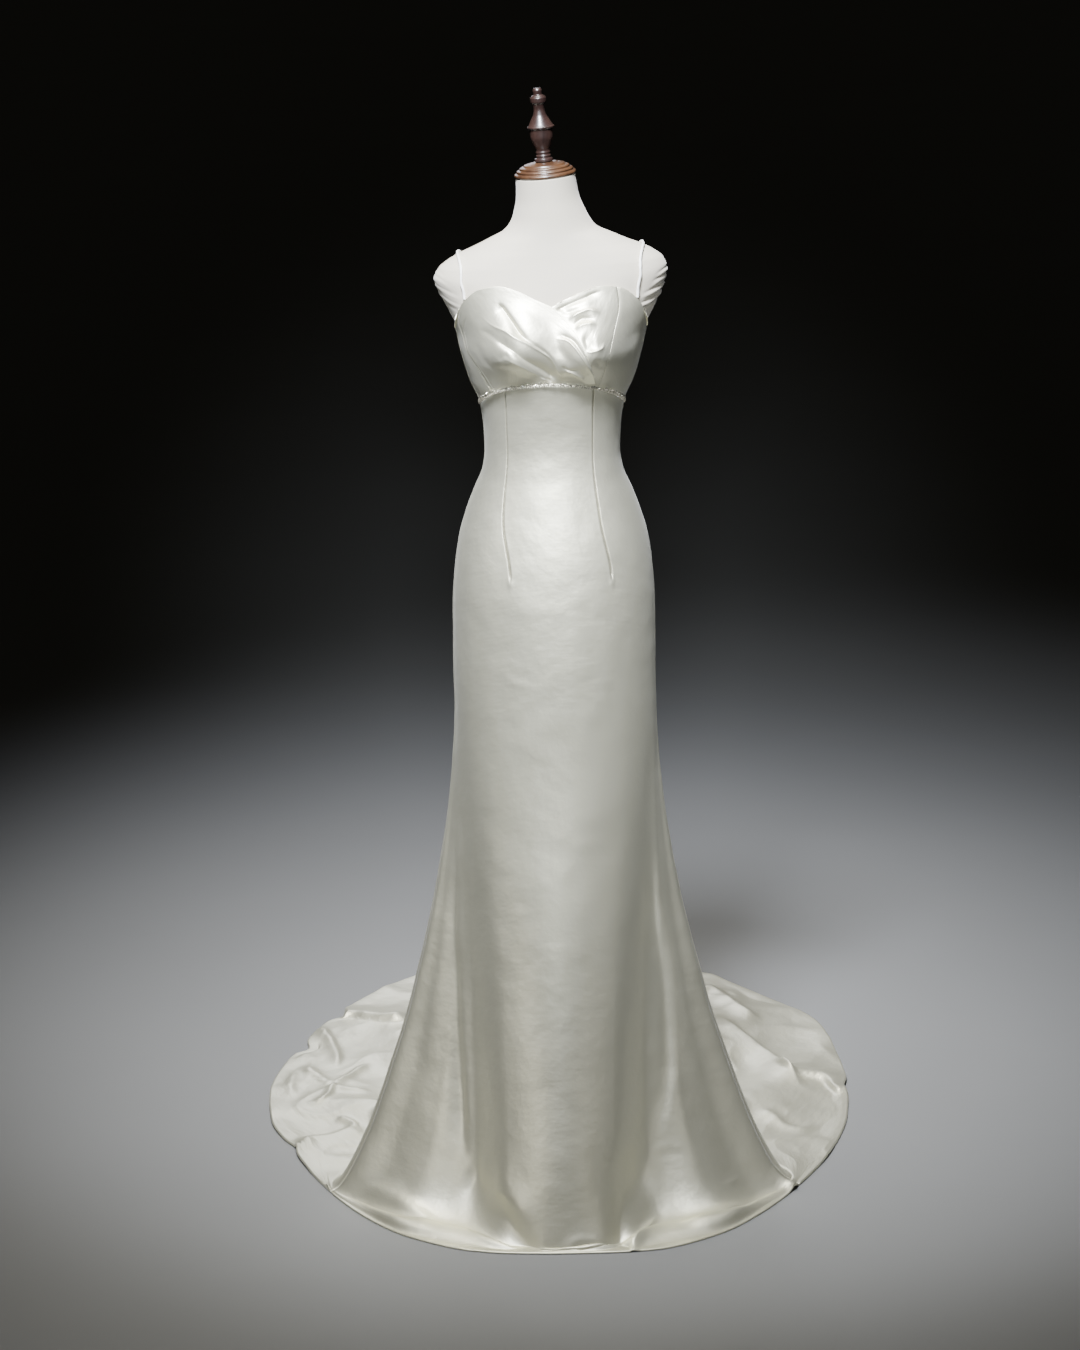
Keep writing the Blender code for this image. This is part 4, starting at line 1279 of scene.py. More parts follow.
    def finish_panel(
        self,
        node: str,
        base: Array,
        station: Array,
        lift: Array,
        shade: Array | float,
        edge: Array,
        hem_thick: float,
    ) -> Piece:
        """Makes one panel of the skirt from its form and the height of its creases.

        Args:
            node: the CAD node that it replaces.
            base: the plain form, rows x columns x 3.
            station: the station of each row.
            lift: the height of the creases.
            shade: 1 on open cloth, down to 0 in a dart.
            edge: how far each point is from the panel's nearest seam, in degrees.
            hem_thick: the thickness of its turned-up hem.

        Returns:
            The piece.
        """
        across = np.radians(edge) * self.seam_radius
        lift = lift - self.seam_depth * bell(across, self.seam_width)
        shade = shade - 0.3 * bell(across, 0.0009)
        landing = bell(station - self.landing, 0.16)
        first_lying = np.searchsorted(station, self.landing)
        station = station[:, None]
        length = np.linalg.norm(base[-1] - base[first_lying], axis=-1)
        hem = self.hem(station, length[None])
        lying = ease_in((station - 1.85) / 0.25) * ease_in((base[..., 1] + 0.12) / 0.12)
        lift = lift + unevenness(base, 0.11, 3.1) * 0.0016 * ease_in(station / 1.2)
        lift = lift + unevenness(base, 0.035, 8.7) * 0.0005
        faceted = 0.0050 * crumpled(base, 0.19, 2.6) + 0.0026 * crumpled(base, 0.085, 6.4)
        lift = lift + lying * faceted + hem * self.hem_lift
        base = relaxed(base, landing, self.landing_reach)
        points = base + ways_out(base) * lift[..., None]
        for x, y, depth in self.nicks:
            near = bell(np.hypot(points[..., 0] - x, points[..., 1] - y), self.nick_width) * depth
            points[..., :2] -= unit(points[..., :2] * np.array([1.0, 0.6])) * near[..., None]
        thick = CLOTH + (hem_thick - CLOTH) * hem
        points[..., 2] = np.maximum(points[..., 2], thick + self.floor_gap)
        return Shell(node, points, thick, (0, 1, 0, 0), shade).build(self.satin)

    def front(self) -> Piece:
        """Makes the front panel, whose grid follows the darts."""
        station = spans((0, 1, 84, 0, 0), (1, 1, 112, 0, 0.6), (2, 1, 44, 0, 0.3))
        height = EMPIRE(33) + (HIP_LINE - EMPIRE(33)) * np.clip(station, 0, 1)
        right, left = angle_at(DART_RIGHT(height), height), angle_at(DART_LEFT(height), height)
        seam = self.side_seam(station)
        stops = [-seam, right, (right + left) / 2, left, seam]
        shares = [crowded(93, 0.5, 0.93), crowded(46, 0.9), crowded(46, 0, 0.9)]
        shares.append(crowded(93, 0.93, 0.5))
        parts = [a[:, None] + (b - a)[:, None] * t[None]
                 for a, b, t in zip(stops, stops[1:], shares, strict=False)]
        angle = np.concatenate([parts[0]] + [p[:, 1:] for p in parts[1:]], axis=1)
        base = skirt_point(angle, station[:, None])
        for valley in self.valleys:
            near = bell(angle[-1] - valley, self.valley_width)
            turned_over = relaxed(base.transpose(1, 0, 2), near, self.valley_reach)
            base = turned_over.transpose(1, 0, 2)
        edge = seam[:, None] - np.abs(angle)
        open_cloth = ease_in(edge / self.open_from)
        roll = (bell(station - 2.25, 0.44) * ease_in((3 - station) / 0.5))[:, None]
        roll = roll * (1 - 0.9 * bell(angle, self.straight_middle))
        lift = creased(base, self.front_creases, Seen.FRONT) + self.hem_roll * roll
        lying = (station[:, None] - 1.80 + 0.18 * open_cloth) / (0.20 - 0.04 * open_cloth)
        on_floor = creased(base, self.floor_creases, Seen.ABOVE, ease_in(lying))
        lift, shade = lift * open_cloth + on_floor, 1.0
        for dart, pressed in ((right, 1), (left, -1)):
            away = np.radians(angle - dart[:, None]) * self.dart_radius
            above = base[..., 2] - self.dart_end
            deep = ease_in(above / 0.012)
            lift = lift - self.dart_depth * deep * bell(away, self.dart_width)
            shade = shade - 0.8 * deep * bell(away, self.dart_width)
            side = np.where(away * pressed > 0, np.exp(-np.abs(away) / self.lap_width), 0)
            lift = lift + self.lap * deep * side
            lift = lift + self.pucker * (bell(away, 0.004) * bell(above + 0.004, 0.006))
        node = "front_panel"
        made = self.finish_panel(node, base, station, lift, shade, edge, self.front_hem)
        return made

    def back(self, side: int, node: str) -> Piece:
        """Makes one back panel, with its half of the train.

        Args:
            side: 1 for the wearer's left and -1 for the right.
            node: the CAD node that it replaces.

        Returns:
            The piece.
        """
        bodice, close = (-1, 1, 20, 0, 0), (0, 1, 50, 0, 0)
        station = spans(bodice, close, (1, 1, 94, 0, 0.5), (2, 1, 120, 0.1, 0.3))
        seam = self.side_seam(station)[:, None]
        turn = seam + (180 - seam) * crowded(172, 0.3, 0.5)
        angle = side * (turn if side > 0 else turn[:, ::-1])
        base = back_point(angle, station[:, None])
        lying = ease_in((station - 1.8) / 0.2)[:, None]
        lift = creased(base, self.floor_creases, Seen.ABOVE, lying)
        edge = np.minimum(turn - seam, 180 - turn)[:, ::side]
        made = self.finish_panel(node, base, station, lift, 1.0, edge, self.train_hem)
        return made

    def build(self) -> list[Piece]:
        """Makes the three panels."""
        return [self.front(), self.back(1, "back_panel_left"), self.back(-1, "back_panel_right")]


def along(edges: Sequence[Place], share: Array) -> tuple[Array, Array]:
    """A place on a line of the bodice.

    Args:
        edges: the line's places, which take equal shares of it.
        share: how far along it.

    Returns:
        The angle and the height.
    """
    at = np.asarray(share) * (len(edges) - 1)
    places = range(len(edges))
    return Spline(places, [a for a, _ in edges])(at), Spline(places, [h for _, h in edges])(at)


@dataclass
class Bodice:
    """The two crossed and pleated cups, and the plain panel beside each."""

    satin: Finish
    right_turn: float = 0.48  # the share of the right cup's rows that run up its outer seam
    left_turn: float = 0.80
    underlap: float = 4.0  # how far the left cup goes under the right one, in degrees
    overlap_lift: float = 0.0034
    seam_depth: float = 0.0006
    seam_shade: float = 0.40
    seam_gap: float = 0.0001
    per_degree: float = 0.0026  # metres of cloth to a degree round the bust
    # (how far inside the outer seam, width, depth) of the grooves in the right cup
    grooves: tuple[Point, ...] = (
        (0.0125, 0.0014, 0.0008), (0, 0.0022, 0.0012), (0.0045, 0.0012, 0.0006),
    )
    edge_lip: float = 0.0009
    edge_swell: float = 0.0008  # how much thicker the free edge is
    right_creases: tuple[Crease, ...] = (
        # the deep crease below the neckline, which opens into a valley, and the full puff above it
        Crease(((-82, 1465), (-74, 1458), (-65, 1447), (-57, 1436), (-50, 1426), (-42, 1417),
                (-32, 1407)), -5.2, 4.8, 0.55, 0.15, 0.35, 0.8),
        Crease(((-60, 1440), (-45, 1421), (-32, 1408), (-19, 1399), (-9, 1391), (-1, 1382),
                (7, 1369), (16, 1354)), -4, 7, 0.5, 0.45, 0.3, 0.5),
        Crease(((-66, 1466), (-36, 1437), (-10, 1415), (14, 1396)), 3, 15, 0, 0.4, 0.4),
        # the long ridge, and the valley under the face that it holds out
        Crease(((-110, 1446), (-89, 1432), (-68, 1424), (-57, 1417), (-41, 1410), (-28, 1402),
                (-15, 1394), (-6, 1388), (4, 1377), (11, 1364), (18, 1351)), 5.6, 12, -0.25, 0.35,
               0.12, 1, 0.8),
        Crease(((-92, 1416), (-75, 1407), (-60, 1399), (-49, 1390), (-33, 1377), (-18, 1367),
                (-4, 1356), (6, 1348)), -4.4, 7, -0.45, 0.2, 0.1, 0.6),
        # the lower pleats
        Crease(((-88, 1378), (-78, 1381), (-70, 1385), (-58, 1381), (-43, 1372), (-29, 1362),
                (-14, 1351), (-4, 1346)), 2.2, 7.4, 0.3, 0.45, 0.1, 0.9, 0.4),
        Crease(((-82, 1382), (-73, 1390), (-64, 1392)), -1, 5, -0.3, 0.3, 0.3, 0.6),
        Crease(((-100, 1368), (-75, 1366), (-45, 1356), (-22, 1346)), -2, 7.5, 0, 0.4, 0.2),
        Crease(((-40, 1364), (-22, 1356), (-6, 1349), (2, 1345)), -1.6, 3, 0.2, 0.3, 0.1, 0.8),
        # the small pleats over the left end of the seam
        Crease(((14, 1376), (22, 1371), (31, 1369), (42, 1369)), -2.2, 2.8, 0.3, 0.3, 0.3, 0.8),
        Crease(((19, 1369), (28, 1366), (37, 1362), (44, 1358), (50, 1352)), 3.4, 5, -0.4, 0.2, 0.2,
               0.9, 0.6),
        Crease(((22, 1357), (36, 1354), (48, 1348)), -1.6, 5, 0.3, 0.4, 0.4),
        # the fold that runs beside the free edge, and the dip between them
        Crease(((4, 1414), (17, 1413), (26, 1411), (33, 1406), (42, 1396), (51, 1382), (58, 1368),
                (64, 1353), (67, 1341)), 3.4, 5.8, 0.35, 0.2, 0.05, 0.9, 0.8),
        Crease(((8, 1420), (20, 1417), (33, 1411), (44, 1397), (54, 1380), (61, 1362), (65, 1350)),
               -2.8, 4, 0.3, 0.15, 0.2, 0.6),
        # soft hollows of the full part
        Crease(((-112, 1424), (-96, 1420), (-80, 1410)), -1.2, 5, 0, 0.4, 0.4, 0.4),
        Crease(((0, 1404), (14, 1395), (26, 1383), (34, 1372)), -1.4, 7, 0, 0.4, 0.4),
        Crease(((-116, 1404), (-106, 1382), (-94, 1362)), -1.2, 6, 0, 0.4, 0.4),
    )
    left_creases: tuple[Crease, ...] = (
        Crease(((4, 1450), (15, 1458), (27, 1463), (40, 1468), (51, 1472), (63, 1477), (74, 1480),
                (83, 1482)), -3.2, 4.5, 0.45, 0.1, 0.3, 0.8),
        Crease(((18, 1452), (36, 1460), (56, 1467), (74, 1472)), 2.2, 7, 0, 0.3, 0.4),
        Crease(((20, 1434), (27, 1441), (34, 1446), (45, 1451), (57, 1454), (66, 1452), (76, 1447)),
               3.8, 5.2, 0.1, 0.1, 0.25, 1, 0.7),
        Crease(((12, 1446), (25, 1451), (35, 1454), (46, 1457)), -2, 4.5, 0, 0.2, 0.4, 0.5),
        Crease(((30, 1422), (36, 1428), (42, 1431), (48, 1434), (59, 1435), (70, 1433)), 3.4, 4.5,
               0.2, 0.1, 0.3, 1, 0.7),
        Crease(((29, 1431), (38, 1438), (48, 1443), (58, 1443), (68, 1440)), -3, 4.2, 0.3, 0.1, 0.3,
               0.6),
        Crease(((44, 1420), (54, 1411), (62, 1406), (70, 1406)), -3.4, 10.5, 0, 0.35, 0.35),
        Crease(((50, 1398), (58, 1396), (66, 1397), (75, 1400), (81, 1409)), 2.6, 4, 0.2, 0.3, 0.3,
               0.9, 0.5),
        Crease(((60, 1385), (70, 1376), (76, 1362)), -1.4, 6, 0, 0.4, 0.4),
    )

    def outer_line(
        self, side: int, seam: Sequence[Place], turn: float, u: Array
    ) -> tuple[Array, Array]:
        """A cup's outer border: up its seam to the share u = turn, then along the neckline.

        Args:
            side: 1 for the wearer's left and -1 for the right.
            seam: the seam's places.
            turn: where the seam ends.
            u: the share of the way.

        Returns:
            The angle and the height.
        """
        angle, height = along(seam, np.clip(u / turn, 0, 1))
        over = seam[-1][0] * (1 - (u - turn) / (1 - turn))
        angle = np.where(u <= turn, angle, over)
        height = np.where(u < turn, height, TOP(np.abs(angle)))
        return side * angle, height

    @staticmethod
    def above_seam(angle: Array, height: Array) -> Array:
        """A height kept clear of the empire seam and the top edge."""
        return np.clip(height, EMPIRE(np.abs(angle)) + SEAM * 2, TOP(np.abs(angle)))

    def right_place(self, u: Array, v: Array) -> tuple[Array, Array, Array]:
        """A place on the right cup, whose free edge crosses over the left one.

        Args:
            u: the share of the way up its outer seam and along the neckline.
            v: the share of the way from there to the empire seam and the free edge.

        Returns:
            The angle, the height and the lift off the cloth below.
        """
        a, h = self.outer_line(-1, SEAM_RIGHT, self.right_turn, u)
        lower = Spline((0, 0.25, 0.5, 0.75, 1), (0, 0.48, 0.69, 0.83, 1))
        first, last = -SEAM_RIGHT[0][0] + 3, CROSS_OVER[-1][0]
        b = first + (last - first) * lower(u)
        angle, height = a + (b - a) * v, h + (EMPIRE(np.abs(b)) - h) * v
        free_angle, free_height = along(CROSS_OVER, v)
        near = ease_in((u - 0.55) / 0.45)
        (start_angle, start_height), (end_angle, end_height) = CROSS_OVER[0], CROSS_OVER[-1]
        angle = angle + near * (free_angle - start_angle * (1 - v) - end_angle * v)
        height = height + near * (free_height - start_height * (1 - v) - end_height * v)
        height = np.where((u == 0) | (v == 1), EMPIRE(np.abs(angle)) + SEAM * 2, height)
        height = np.where((v == 0) & (u >= self.right_turn), TOP(np.abs(angle)), height)
        lift = self.overlap_lift * ease_in((u - 0.50) / 0.28)
        return angle, self.above_seam(angle, height), lift

    def left_place(self, u: Array, v: Array) -> tuple[Array, Array]:
        """A place on the left cup.

        Args:
            u: the share of the way down its tucked edge.
            v: the share of the way from there to its outer seam.

        Returns:
            The angle and the height.
        """
        a, h = along(CROSS_OVER, u)
        a, h = a - self.underlap, h - 0.002 * (1 - u)
        corner = 0.03 * np.maximum(0, 1 - u / (1 - self.left_turn))
        b, k = self.outer_line(1, SEAM_LEFT, self.left_turn, 1 - u - corner)
        angle, height = a + (b - a) * v, h + (k - h) * v
        height = np.where(u == 1, EMPIRE(np.abs(angle)) + SEAM * 2, height)
        return angle, self.above_seam(angle, height)

    def held_back(self, points: Array, first: bool, last: bool) -> Array:
        """Moves the ends of each row off the seams that they share with a neighbour.

        Args:
            points: rows x columns x 3.
            first: whether the first column moves.
            last: whether the last one does.

        Returns:
            The points.
        """
        if first:
            points[:, 0] += unit(points[:, 1] - points[:, 0]) * self.seam_gap
        if last:
            points[:, -1] += unit(points[:, -2] - points[:, -1]) * self.seam_gap
        return points

    def right_cup(self) -> Piece:
        """Makes the right cup, which lies on top."""
        turn = self.right_turn
        u = spans((0, turn, 130, 0, 0), (turn, 1 - turn, 210, 0, 0.6))[::-1, None]
        v = crowded(190, 0.3, 0.2)[None]
        angle, height, lift = self.right_place(u, v)
        base, out = outward(worn_point, angle, height)
        inside = ease_in(v / 0.05) * ease_in((1 - v) / 0.03)
        relief = creased(base, self.right_creases, Seen.FRONT, inside)
        relief = relief + unevenness(base, 0.030, 5.3) * 0.0007 * inside
        # a second seam line lies inside the outer one, and a soft groove between them
        across = (angle - self.outer_line(-1, SEAM_RIGHT, turn, u)[0]) * self.per_degree
        on_seam = ease_in((turn - u) / 0.05)
        for place, width, depth in self.grooves:
            relief = relief - on_seam * depth * bell(across - place, width)
        free_side = ease_in((u - turn) / 0.08)
        lip = bell(1 - v, 0.018) - 0.6 * bell(1 - v - 0.045, 0.02)
        relief = relief + self.edge_lip * free_side * lip
        relief = relief - self.seam_depth * (1 - free_side) * bell(1 - v, 0.012)
        dark = 0.5 * bell(across - self.grooves[0][0], 0.0011) + bell(across, 0.0016)
        shade = 1 - on_seam * self.seam_shade * dark
        points = self.held_back(base + out * (lift + relief)[..., None], True, False)
        thick = CLOTH + self.edge_swell * (u > 0.96) * np.ones_like(v)
        rolled = (1, 0, (u[:, 0] >= turn) * 1.0, 0)
        made = Shell("cup_right", points, thick, rolled, shade).build(self.satin)
        return made

    def left_cup(self) -> Piece:
        """Makes the left cup, which is tucked under the right one."""
        turn = 1 - self.left_turn
        u = spans((0, turn, 64, 0, 0), (turn, 1 - turn, 170, 0, 0))[:, None]
        v = crowded(150, 0.2, 0.4)[None]
        angle, height = self.left_place(u, v)
        base, out = outward(worn_point, angle, height)
        inside = ease_in((v - 0.14) / 0.14) * ease_in((1 - v) / 0.04) * ease_in(u / 0.03)
        inside = inside * ease_in((1 - u) / 0.03)
        relief = creased(base, self.left_creases, Seen.FRONT, inside)
        relief = relief + unevenness(base, 0.030, 7.7) * 0.0006 * inside
        on_seam = (u > turn) * 1.0
        at_seam = on_seam * bell(1 - v, 0.014) + bell(1 - u, 0.012)
        relief = relief - self.seam_depth * at_seam
        shade = 1 - self.seam_shade * on_seam * bell(1 - v, 0.010)
        points = self.held_back(base + out * relief[..., None], False, True)
        rolled = (1, 0, 0, (u[:, 0] < turn) * 1.0)
        made = Shell("cup_left", points, CLOTH, rolled, shade).build(self.satin)
        return made

    def side(self, side: int, seam: Sequence[Place], node: str, area: float) -> Piece:
        """Makes the plain panel between a cup's outer seam and the side seam.

        Args:
            side: 1 for the wearer's left and -1 for the right.
            seam: the cup's outer seam.
            node: the CAD node that it replaces.
            area: its flat area; not used.

        Returns:
            The piece.
        """
        share, t = (1 - crowded(72))[:, None], crowded(48, 0.6, 0.4)[None]
        a, h = along(seam, share)
        bottom, top = EMPIRE(SIDE_SEAM) + SEAM * 2, TOP(SIDE_SEAM)
        angle = a + (SIDE_SEAM - a) * t
        height = h + (bottom + (top - bottom) * share - h) * t
        height = np.where(share == 0, EMPIRE(angle) + SEAM * 2, height)
        height = np.where(share == 1, TOP(angle), height)
        angle, height = angle[:, ::side], height[:, ::side]
        base, out = outward(worn_point, side * angle, height)
        at_edge = (bell(t, 0.025) + bell(1 - t, 0.025))[:, ::side] + bell(share, 0.02)
        relief = unevenness(base, 0.025, 2.2) * 0.0005 - self.seam_depth * at_edge
        shade = (1 - self.seam_shade * bell(t, 0.012))[:, ::side]
        points = self.held_back(base + out * relief[..., None], True, True)
        made = Shell(node, points, CLOTH, (1, 0, 0, 0), shade).build(self.satin)
        return made

    def build(self) -> list[Piece]:
        """Makes the four pieces."""
        return [
            self.right_cup(),
            self.left_cup(),
            self.side(1, SEAM_LEFT, "side_bust_left", 0.0145),
            self.side(-1, SEAM_RIGHT, "side_bust_right", 0.0070),
        ]


def ball(rings: int, sides: int) -> Shape:
    """A bead of radius 1 whose poles lie on the Z axis.

    Args:
        rings: how many rows of faces it has from pole to pole.
        sides: how many faces go round it.

    Returns:
        Its points and its faces.
    """
    turn = np.arange(sides) / sides * math.tau
    points = [np.array([[0, 0, 1.0]])]
    for k in range(1, rings):
        tilt = math.pi * k / rings
        points.append(np.stack([np.cos(turn) * math.sin(tilt), np.sin(turn) * math.sin(tilt),
                                np.full(sides, math.cos(tilt))], axis=-1))
    points.append(np.array([[0, 0, -1.0]]))
    here, after = closed_grid(rings - 1, sides, 1)
    top, bottom = np.zeros(sides, int), np.full(sides, here[-1, -1] + 1)
    faces = faces_of(top, here[0], after[0])
    faces += faces_of(here[:-1], here[1:], after[1:], after[:-1])
    faces += faces_of(bottom, after[-1], here[-1])
    return np.concatenate(points), faces


def strung(
    shape: Shape, centres: Array, frames: Array, sizes: Array
) -> Shape:
    """Many copies of one bead as one set of points and faces.

    Args:
        shape: the bead.
        centres: where each copy goes.
        frames: each copy's three axes.
        sizes: each copy's three half widths.

    Returns:
        All the points and all the faces.
    """
    points, faces = shape
    placed = np.einsum("pk,nk,nkd->npd", points, sizes, frames) + centres[:, None]
    made = [[i + k * len(points) for i in face] for k in range(len(centres)) for face in faces]
    return placed.reshape(-1, 3), made


@dataclass
class BeadTrim:
    """The trim over the empire seam: cut crystals above a picot of small upright pearls."""

    pitches: int = 108
    pearl: float = 0.00105  # half the width of an upright pearl
    drop: float = 0.00185  # half its height
    crystal: float = 0.00115
    flatness: float = 0.8  # how deep a crystal is for its width
    stand_off: float = 0.0010
    lift: float = 0.00272  # how much farther it stands off where the right cup crosses over
    end_gap: float = 1.2  # how far from each side seam it stops, in degrees
    # (place in the pitch, height over the seam, chance) of each row of crystals
    rows: tuple[Point, ...] = ((0.0, 0.0024, 0.92), (0.5, 0.0034, 0.75), (0.35, 0.0004, 0.80))
    seed: int = 7

    def _placed(self, angle: Array, rise: Array, radius: Array, tilt: Array) -> tuple[Array, Array]:
        """The centres and axes of beads that lie on the cloth.

        Args:
            angle: degrees round the body.
            rise: how far each lies above the seam.
            radius: how far its middle stands off.
            tilt: how far it leans to a side, in radians.

        Returns:
            The centres and the axes.
        """
        end = SIDE_SEAM - self.end_gap / 2
        angle = np.clip(angle, -end, end)
        base, out = outward(worn_point, angle, EMPIRE(np.abs(angle)) + rise)
        over = ease_in((angle + 8) / 10) * (1 - ease_in((angle - 31) / 12))
        over = over * ease_in((rise + 0.002) / 0.003)
        centres = base + out * (self.stand_off + radius + self.lift * over)[:, None]
        side = unit(np.cross(out, np.array([0, 0, 1.0])))
        up = np.cross(out, side)
        turn, sway = np.cos(tilt)[:, None], np.sin(tilt)[:, None]
        return centres, np.stack([side * turn + up * sway, up * turn - side * sway, out], axis=1)

    def build(self, pearls: Finish, crystals: Finish) -> list[Piece]:
        """Makes the pearls and the crystals.

        Args:
            pearls: the pearls' material.
            crystals: the crystals' material.

        Returns:
            The two pieces.
        """
        dice = np.random.default_rng(self.seed)
        share = (np.arange(self.pitches) + 0.5) / self.pitches
        angle = (share * 2 - 1) * (SIDE_SEAM - self.end_gap)
        step = (SIDE_SEAM * 2) / self.pitches
        wobble = dice.normal(0, 1, (8, self.pitches)).clip(-1.8, 1.8)
        zig = np.where(np.arange(self.pitches) % 2 == 0, 1.0, -1.0)

        tall = self.drop * (1 + 0.14 * wobble[0] + 0.12 * zig)
        wide = self.pearl * (1 + 0.10 * wobble[1])
        round_one = dice.random(self.pitches) < 0.45
        place = np.concatenate([angle + step * 0.12 * wobble[2], (angle + step * 0.5)[round_one]])
        rise = np.concatenate([-0.0012 - 0.0010 * (zig < 0) + 0.0003 * wobble[3],
                               (0.0012 + 0.0007 * wobble[4])[round_one]])
        tilt = np.concatenate([0.16 * wobble[5] + 0.22 * zig, 0 * wobble[5][round_one]])
        sizes = np.concatenate([np.stack([wide, tall, wide], axis=-1),
                                np.stack([wide * 1.15] * 3, axis=-1)[round_one]])
        shape = strung(ball(8, 12), *self._placed(place, rise, sizes[:, 2], tilt), sizes)
        made = as_piece("bead_band_pearls", shape, pearls, "bead_band")

        places, rises, half = [], [], []
        for offset, height, chance in self.rows:
            keep = dice.random(self.pitches) < chance
            places.append((angle + step * (offset + 0.12 * wobble[6]))[keep])
            rises.append((height + 0.0005 * wobble[7])[keep])
            half.append((self.crystal * (1 + 0.14 * wobble[4]))[keep])
        place, rise, size = (np.concatenate(part) for part in (places, rises, half))
        deep = size * self.flatness
        turn = dice.random(len(place)) * math.tau
        centres, frames = self._placed(place, rise, deep, turn)
        frames = frames + dice.normal(0, 0.16, frames.shape)
        sizes = np.stack([size, size * 0.92, deep], axis=-1)
        shape = strung(ball(4, 6), centres, frames, sizes)
        cut = as_piece("bead_band_crystals", shape, crystals, "bead_band")
        cut.data.shade_flat()
        return [made, cut]


@dataclass
class Straps:
    """The two rolled spaghetti straps, each with its turned-under ends sewn inside the top edge."""

    satin: Finish
    radius: float = 0.0021
    gap: float = 0.0008  # between a strap and the shoulder
    front: float = 0.127  # how far out it runs at the front, and on top of the shoulder
    top: float = 0.1415
    sides: int = 20
    points: int = 250
    cut_length: float = 0.36
    twist: float = 70.0  # turns of its roll's ridges to the metre
    ridges: float = 0.05  # their height, as a share of the radius
    bore: float = 0.5  # the radius of its hollow, as a share too
    # (angle, height) up the front, the angles over the shoulder, and (angle, height) down the back
    rising: tuple[Place, ...] = ((47.3, 1.478), (46.6, 1.489), (47.0, 1.500))
    over: tuple[float, ...] = (50, 55, 62, 71, 82, 93, 103, 112, 120, 126, 131)
    falling: tuple[Place, ...] = (
        (134.5, 1.493), (137, 1.478), (138.5, 1.458), (139, 1.436), (138.3, 1.414),
    )
    # (angle, how far above the top edge) of its two ends
    ends: tuple[Place, Place] = ((48.3, 0.0018), (137.2, 0.0007))

    def _end(self, angle: float, clear: float) -> Array:
        """Where a strap meets the middle of the bodice's top edge.

        Args:
            angle: degrees round the body.
            clear: how far above the edge it ends.

        Returns:
            The point.
        """
        base, out = outward(worn_point, np.array(angle), TOP(abs(angle)))
        return base - out * (CLOTH / 2) + np.array([0, 0, clear])

    def _height(self, x: float, angle: float) -> float:
        """The height on the shoulder at which the form reaches x at an angle.

        Args:
            x: how far out.
            angle: degrees round the body.

        Returns:
            The height.
        """
        low, high = 1.500, 1.560
        for _ in range(40):
            middle = (low + high) / 2
            if level(angle, middle, 0.0, FORM_SPREAD)[0] > x:
                low = middle
            else:
                high = middle
        return (low + high) / 2

    def path(self, side: int) -> Array:
        """A strap's middle line, from the front top edge over the shoulder to the back's.

        Args:
            side: 1 for the wearer's left and -1 for the right.

        Returns:
            Its points.
        """
        width = [self.front + (self.top - self.front) * math.sin(math.radians(a)) ** 2
                 for a in self.over]
        over = [(a, self._height(x, a)) for a, x in zip(self.over, width, strict=True)]
        stops = [*self.rising, *over, *self.falling]
        made = [outward(form_point, np.array(side * a), np.array(h)) for a, h in stops]
        run = [base + out * (self.radius + self.gap) for base, out in made]
        first, last = (self._end(side * angle, clear) for angle, clear in self.ends)
        return smooth_path(np.array([first, *run, last]), self.points)

    def tube(self, path: Array) -> Shape:
        """The rolled tube of cloth along a path, hollow and open at both ends.

        Args:
            path: the middle of each ring.

        Returns:
            Its points and faces.
        """
        radius = self.radius * (1 + 0.05 * np.sin(np.linspace(0, 47, len(path))))
        way = unit(np.gradient(path, axis=0))
        side = unit(np.cross(way, np.array([1.0, 0, 0])))
        other = np.cross(way, side)[:, None]
        turn = np.arange(self.sides) / self.sides * math.tau
        twist = math.tau * self.twist * lengths(path)[:, None]
        bumps = 1 + self.ridges * np.cos(2 * turn + twist)
        bumps = bumps + self.ridges * 0.6 * np.cos(3 * turn - 0.6 * twist + 1)
        skins = []
        for share in (bumps, np.full_like(bumps, self.bore)):
            r = (radius[:, None] * share)[..., None]
            ring = side[:, None] * np.cos(turn)[:, None] * r + other * np.sin(turn)[:, None] * r
            skins.append((path[:, None] + ring).reshape(-1, 3))
        here, after = closed_grid(len(path), self.sides)
        under, beside = here + here.size, after + here.size
        faces = faces_of(here[:-1], after[:-1], after[1:], here[1:])
        faces += faces_of(under[1:], beside[1:], beside[:-1], under[:-1])
        faces += faces_of(here[0], under[0], beside[0], after[0])
        faces += faces_of(here[-1], after[-1], beside[-1], under[-1])
        return np.concatenate(skins), faces

    def build(self) -> list[Piece]:
        """Makes the two straps."""
        made = []
        for node, side in (("strap_right", -1), ("strap_left", 1)):
            path = self.path(side)
            strap = as_piece(node + "_satin", self.tube(path), self.satin, node)
            turn = np.arange(self.sides) / self.sides * math.tau
            across = np.tile(turn * self.radius, len(path) * 2)
            down = np.repeat(np.linspace(0, self.cut_length, len(path)), self.sides)
            grain = np.stack([np.tile(down, 2), across, 0 * across], axis=-1)
            keep_grain(strap.data, grain, np.ones(len(grain)))
            made.append(strap)
        return made


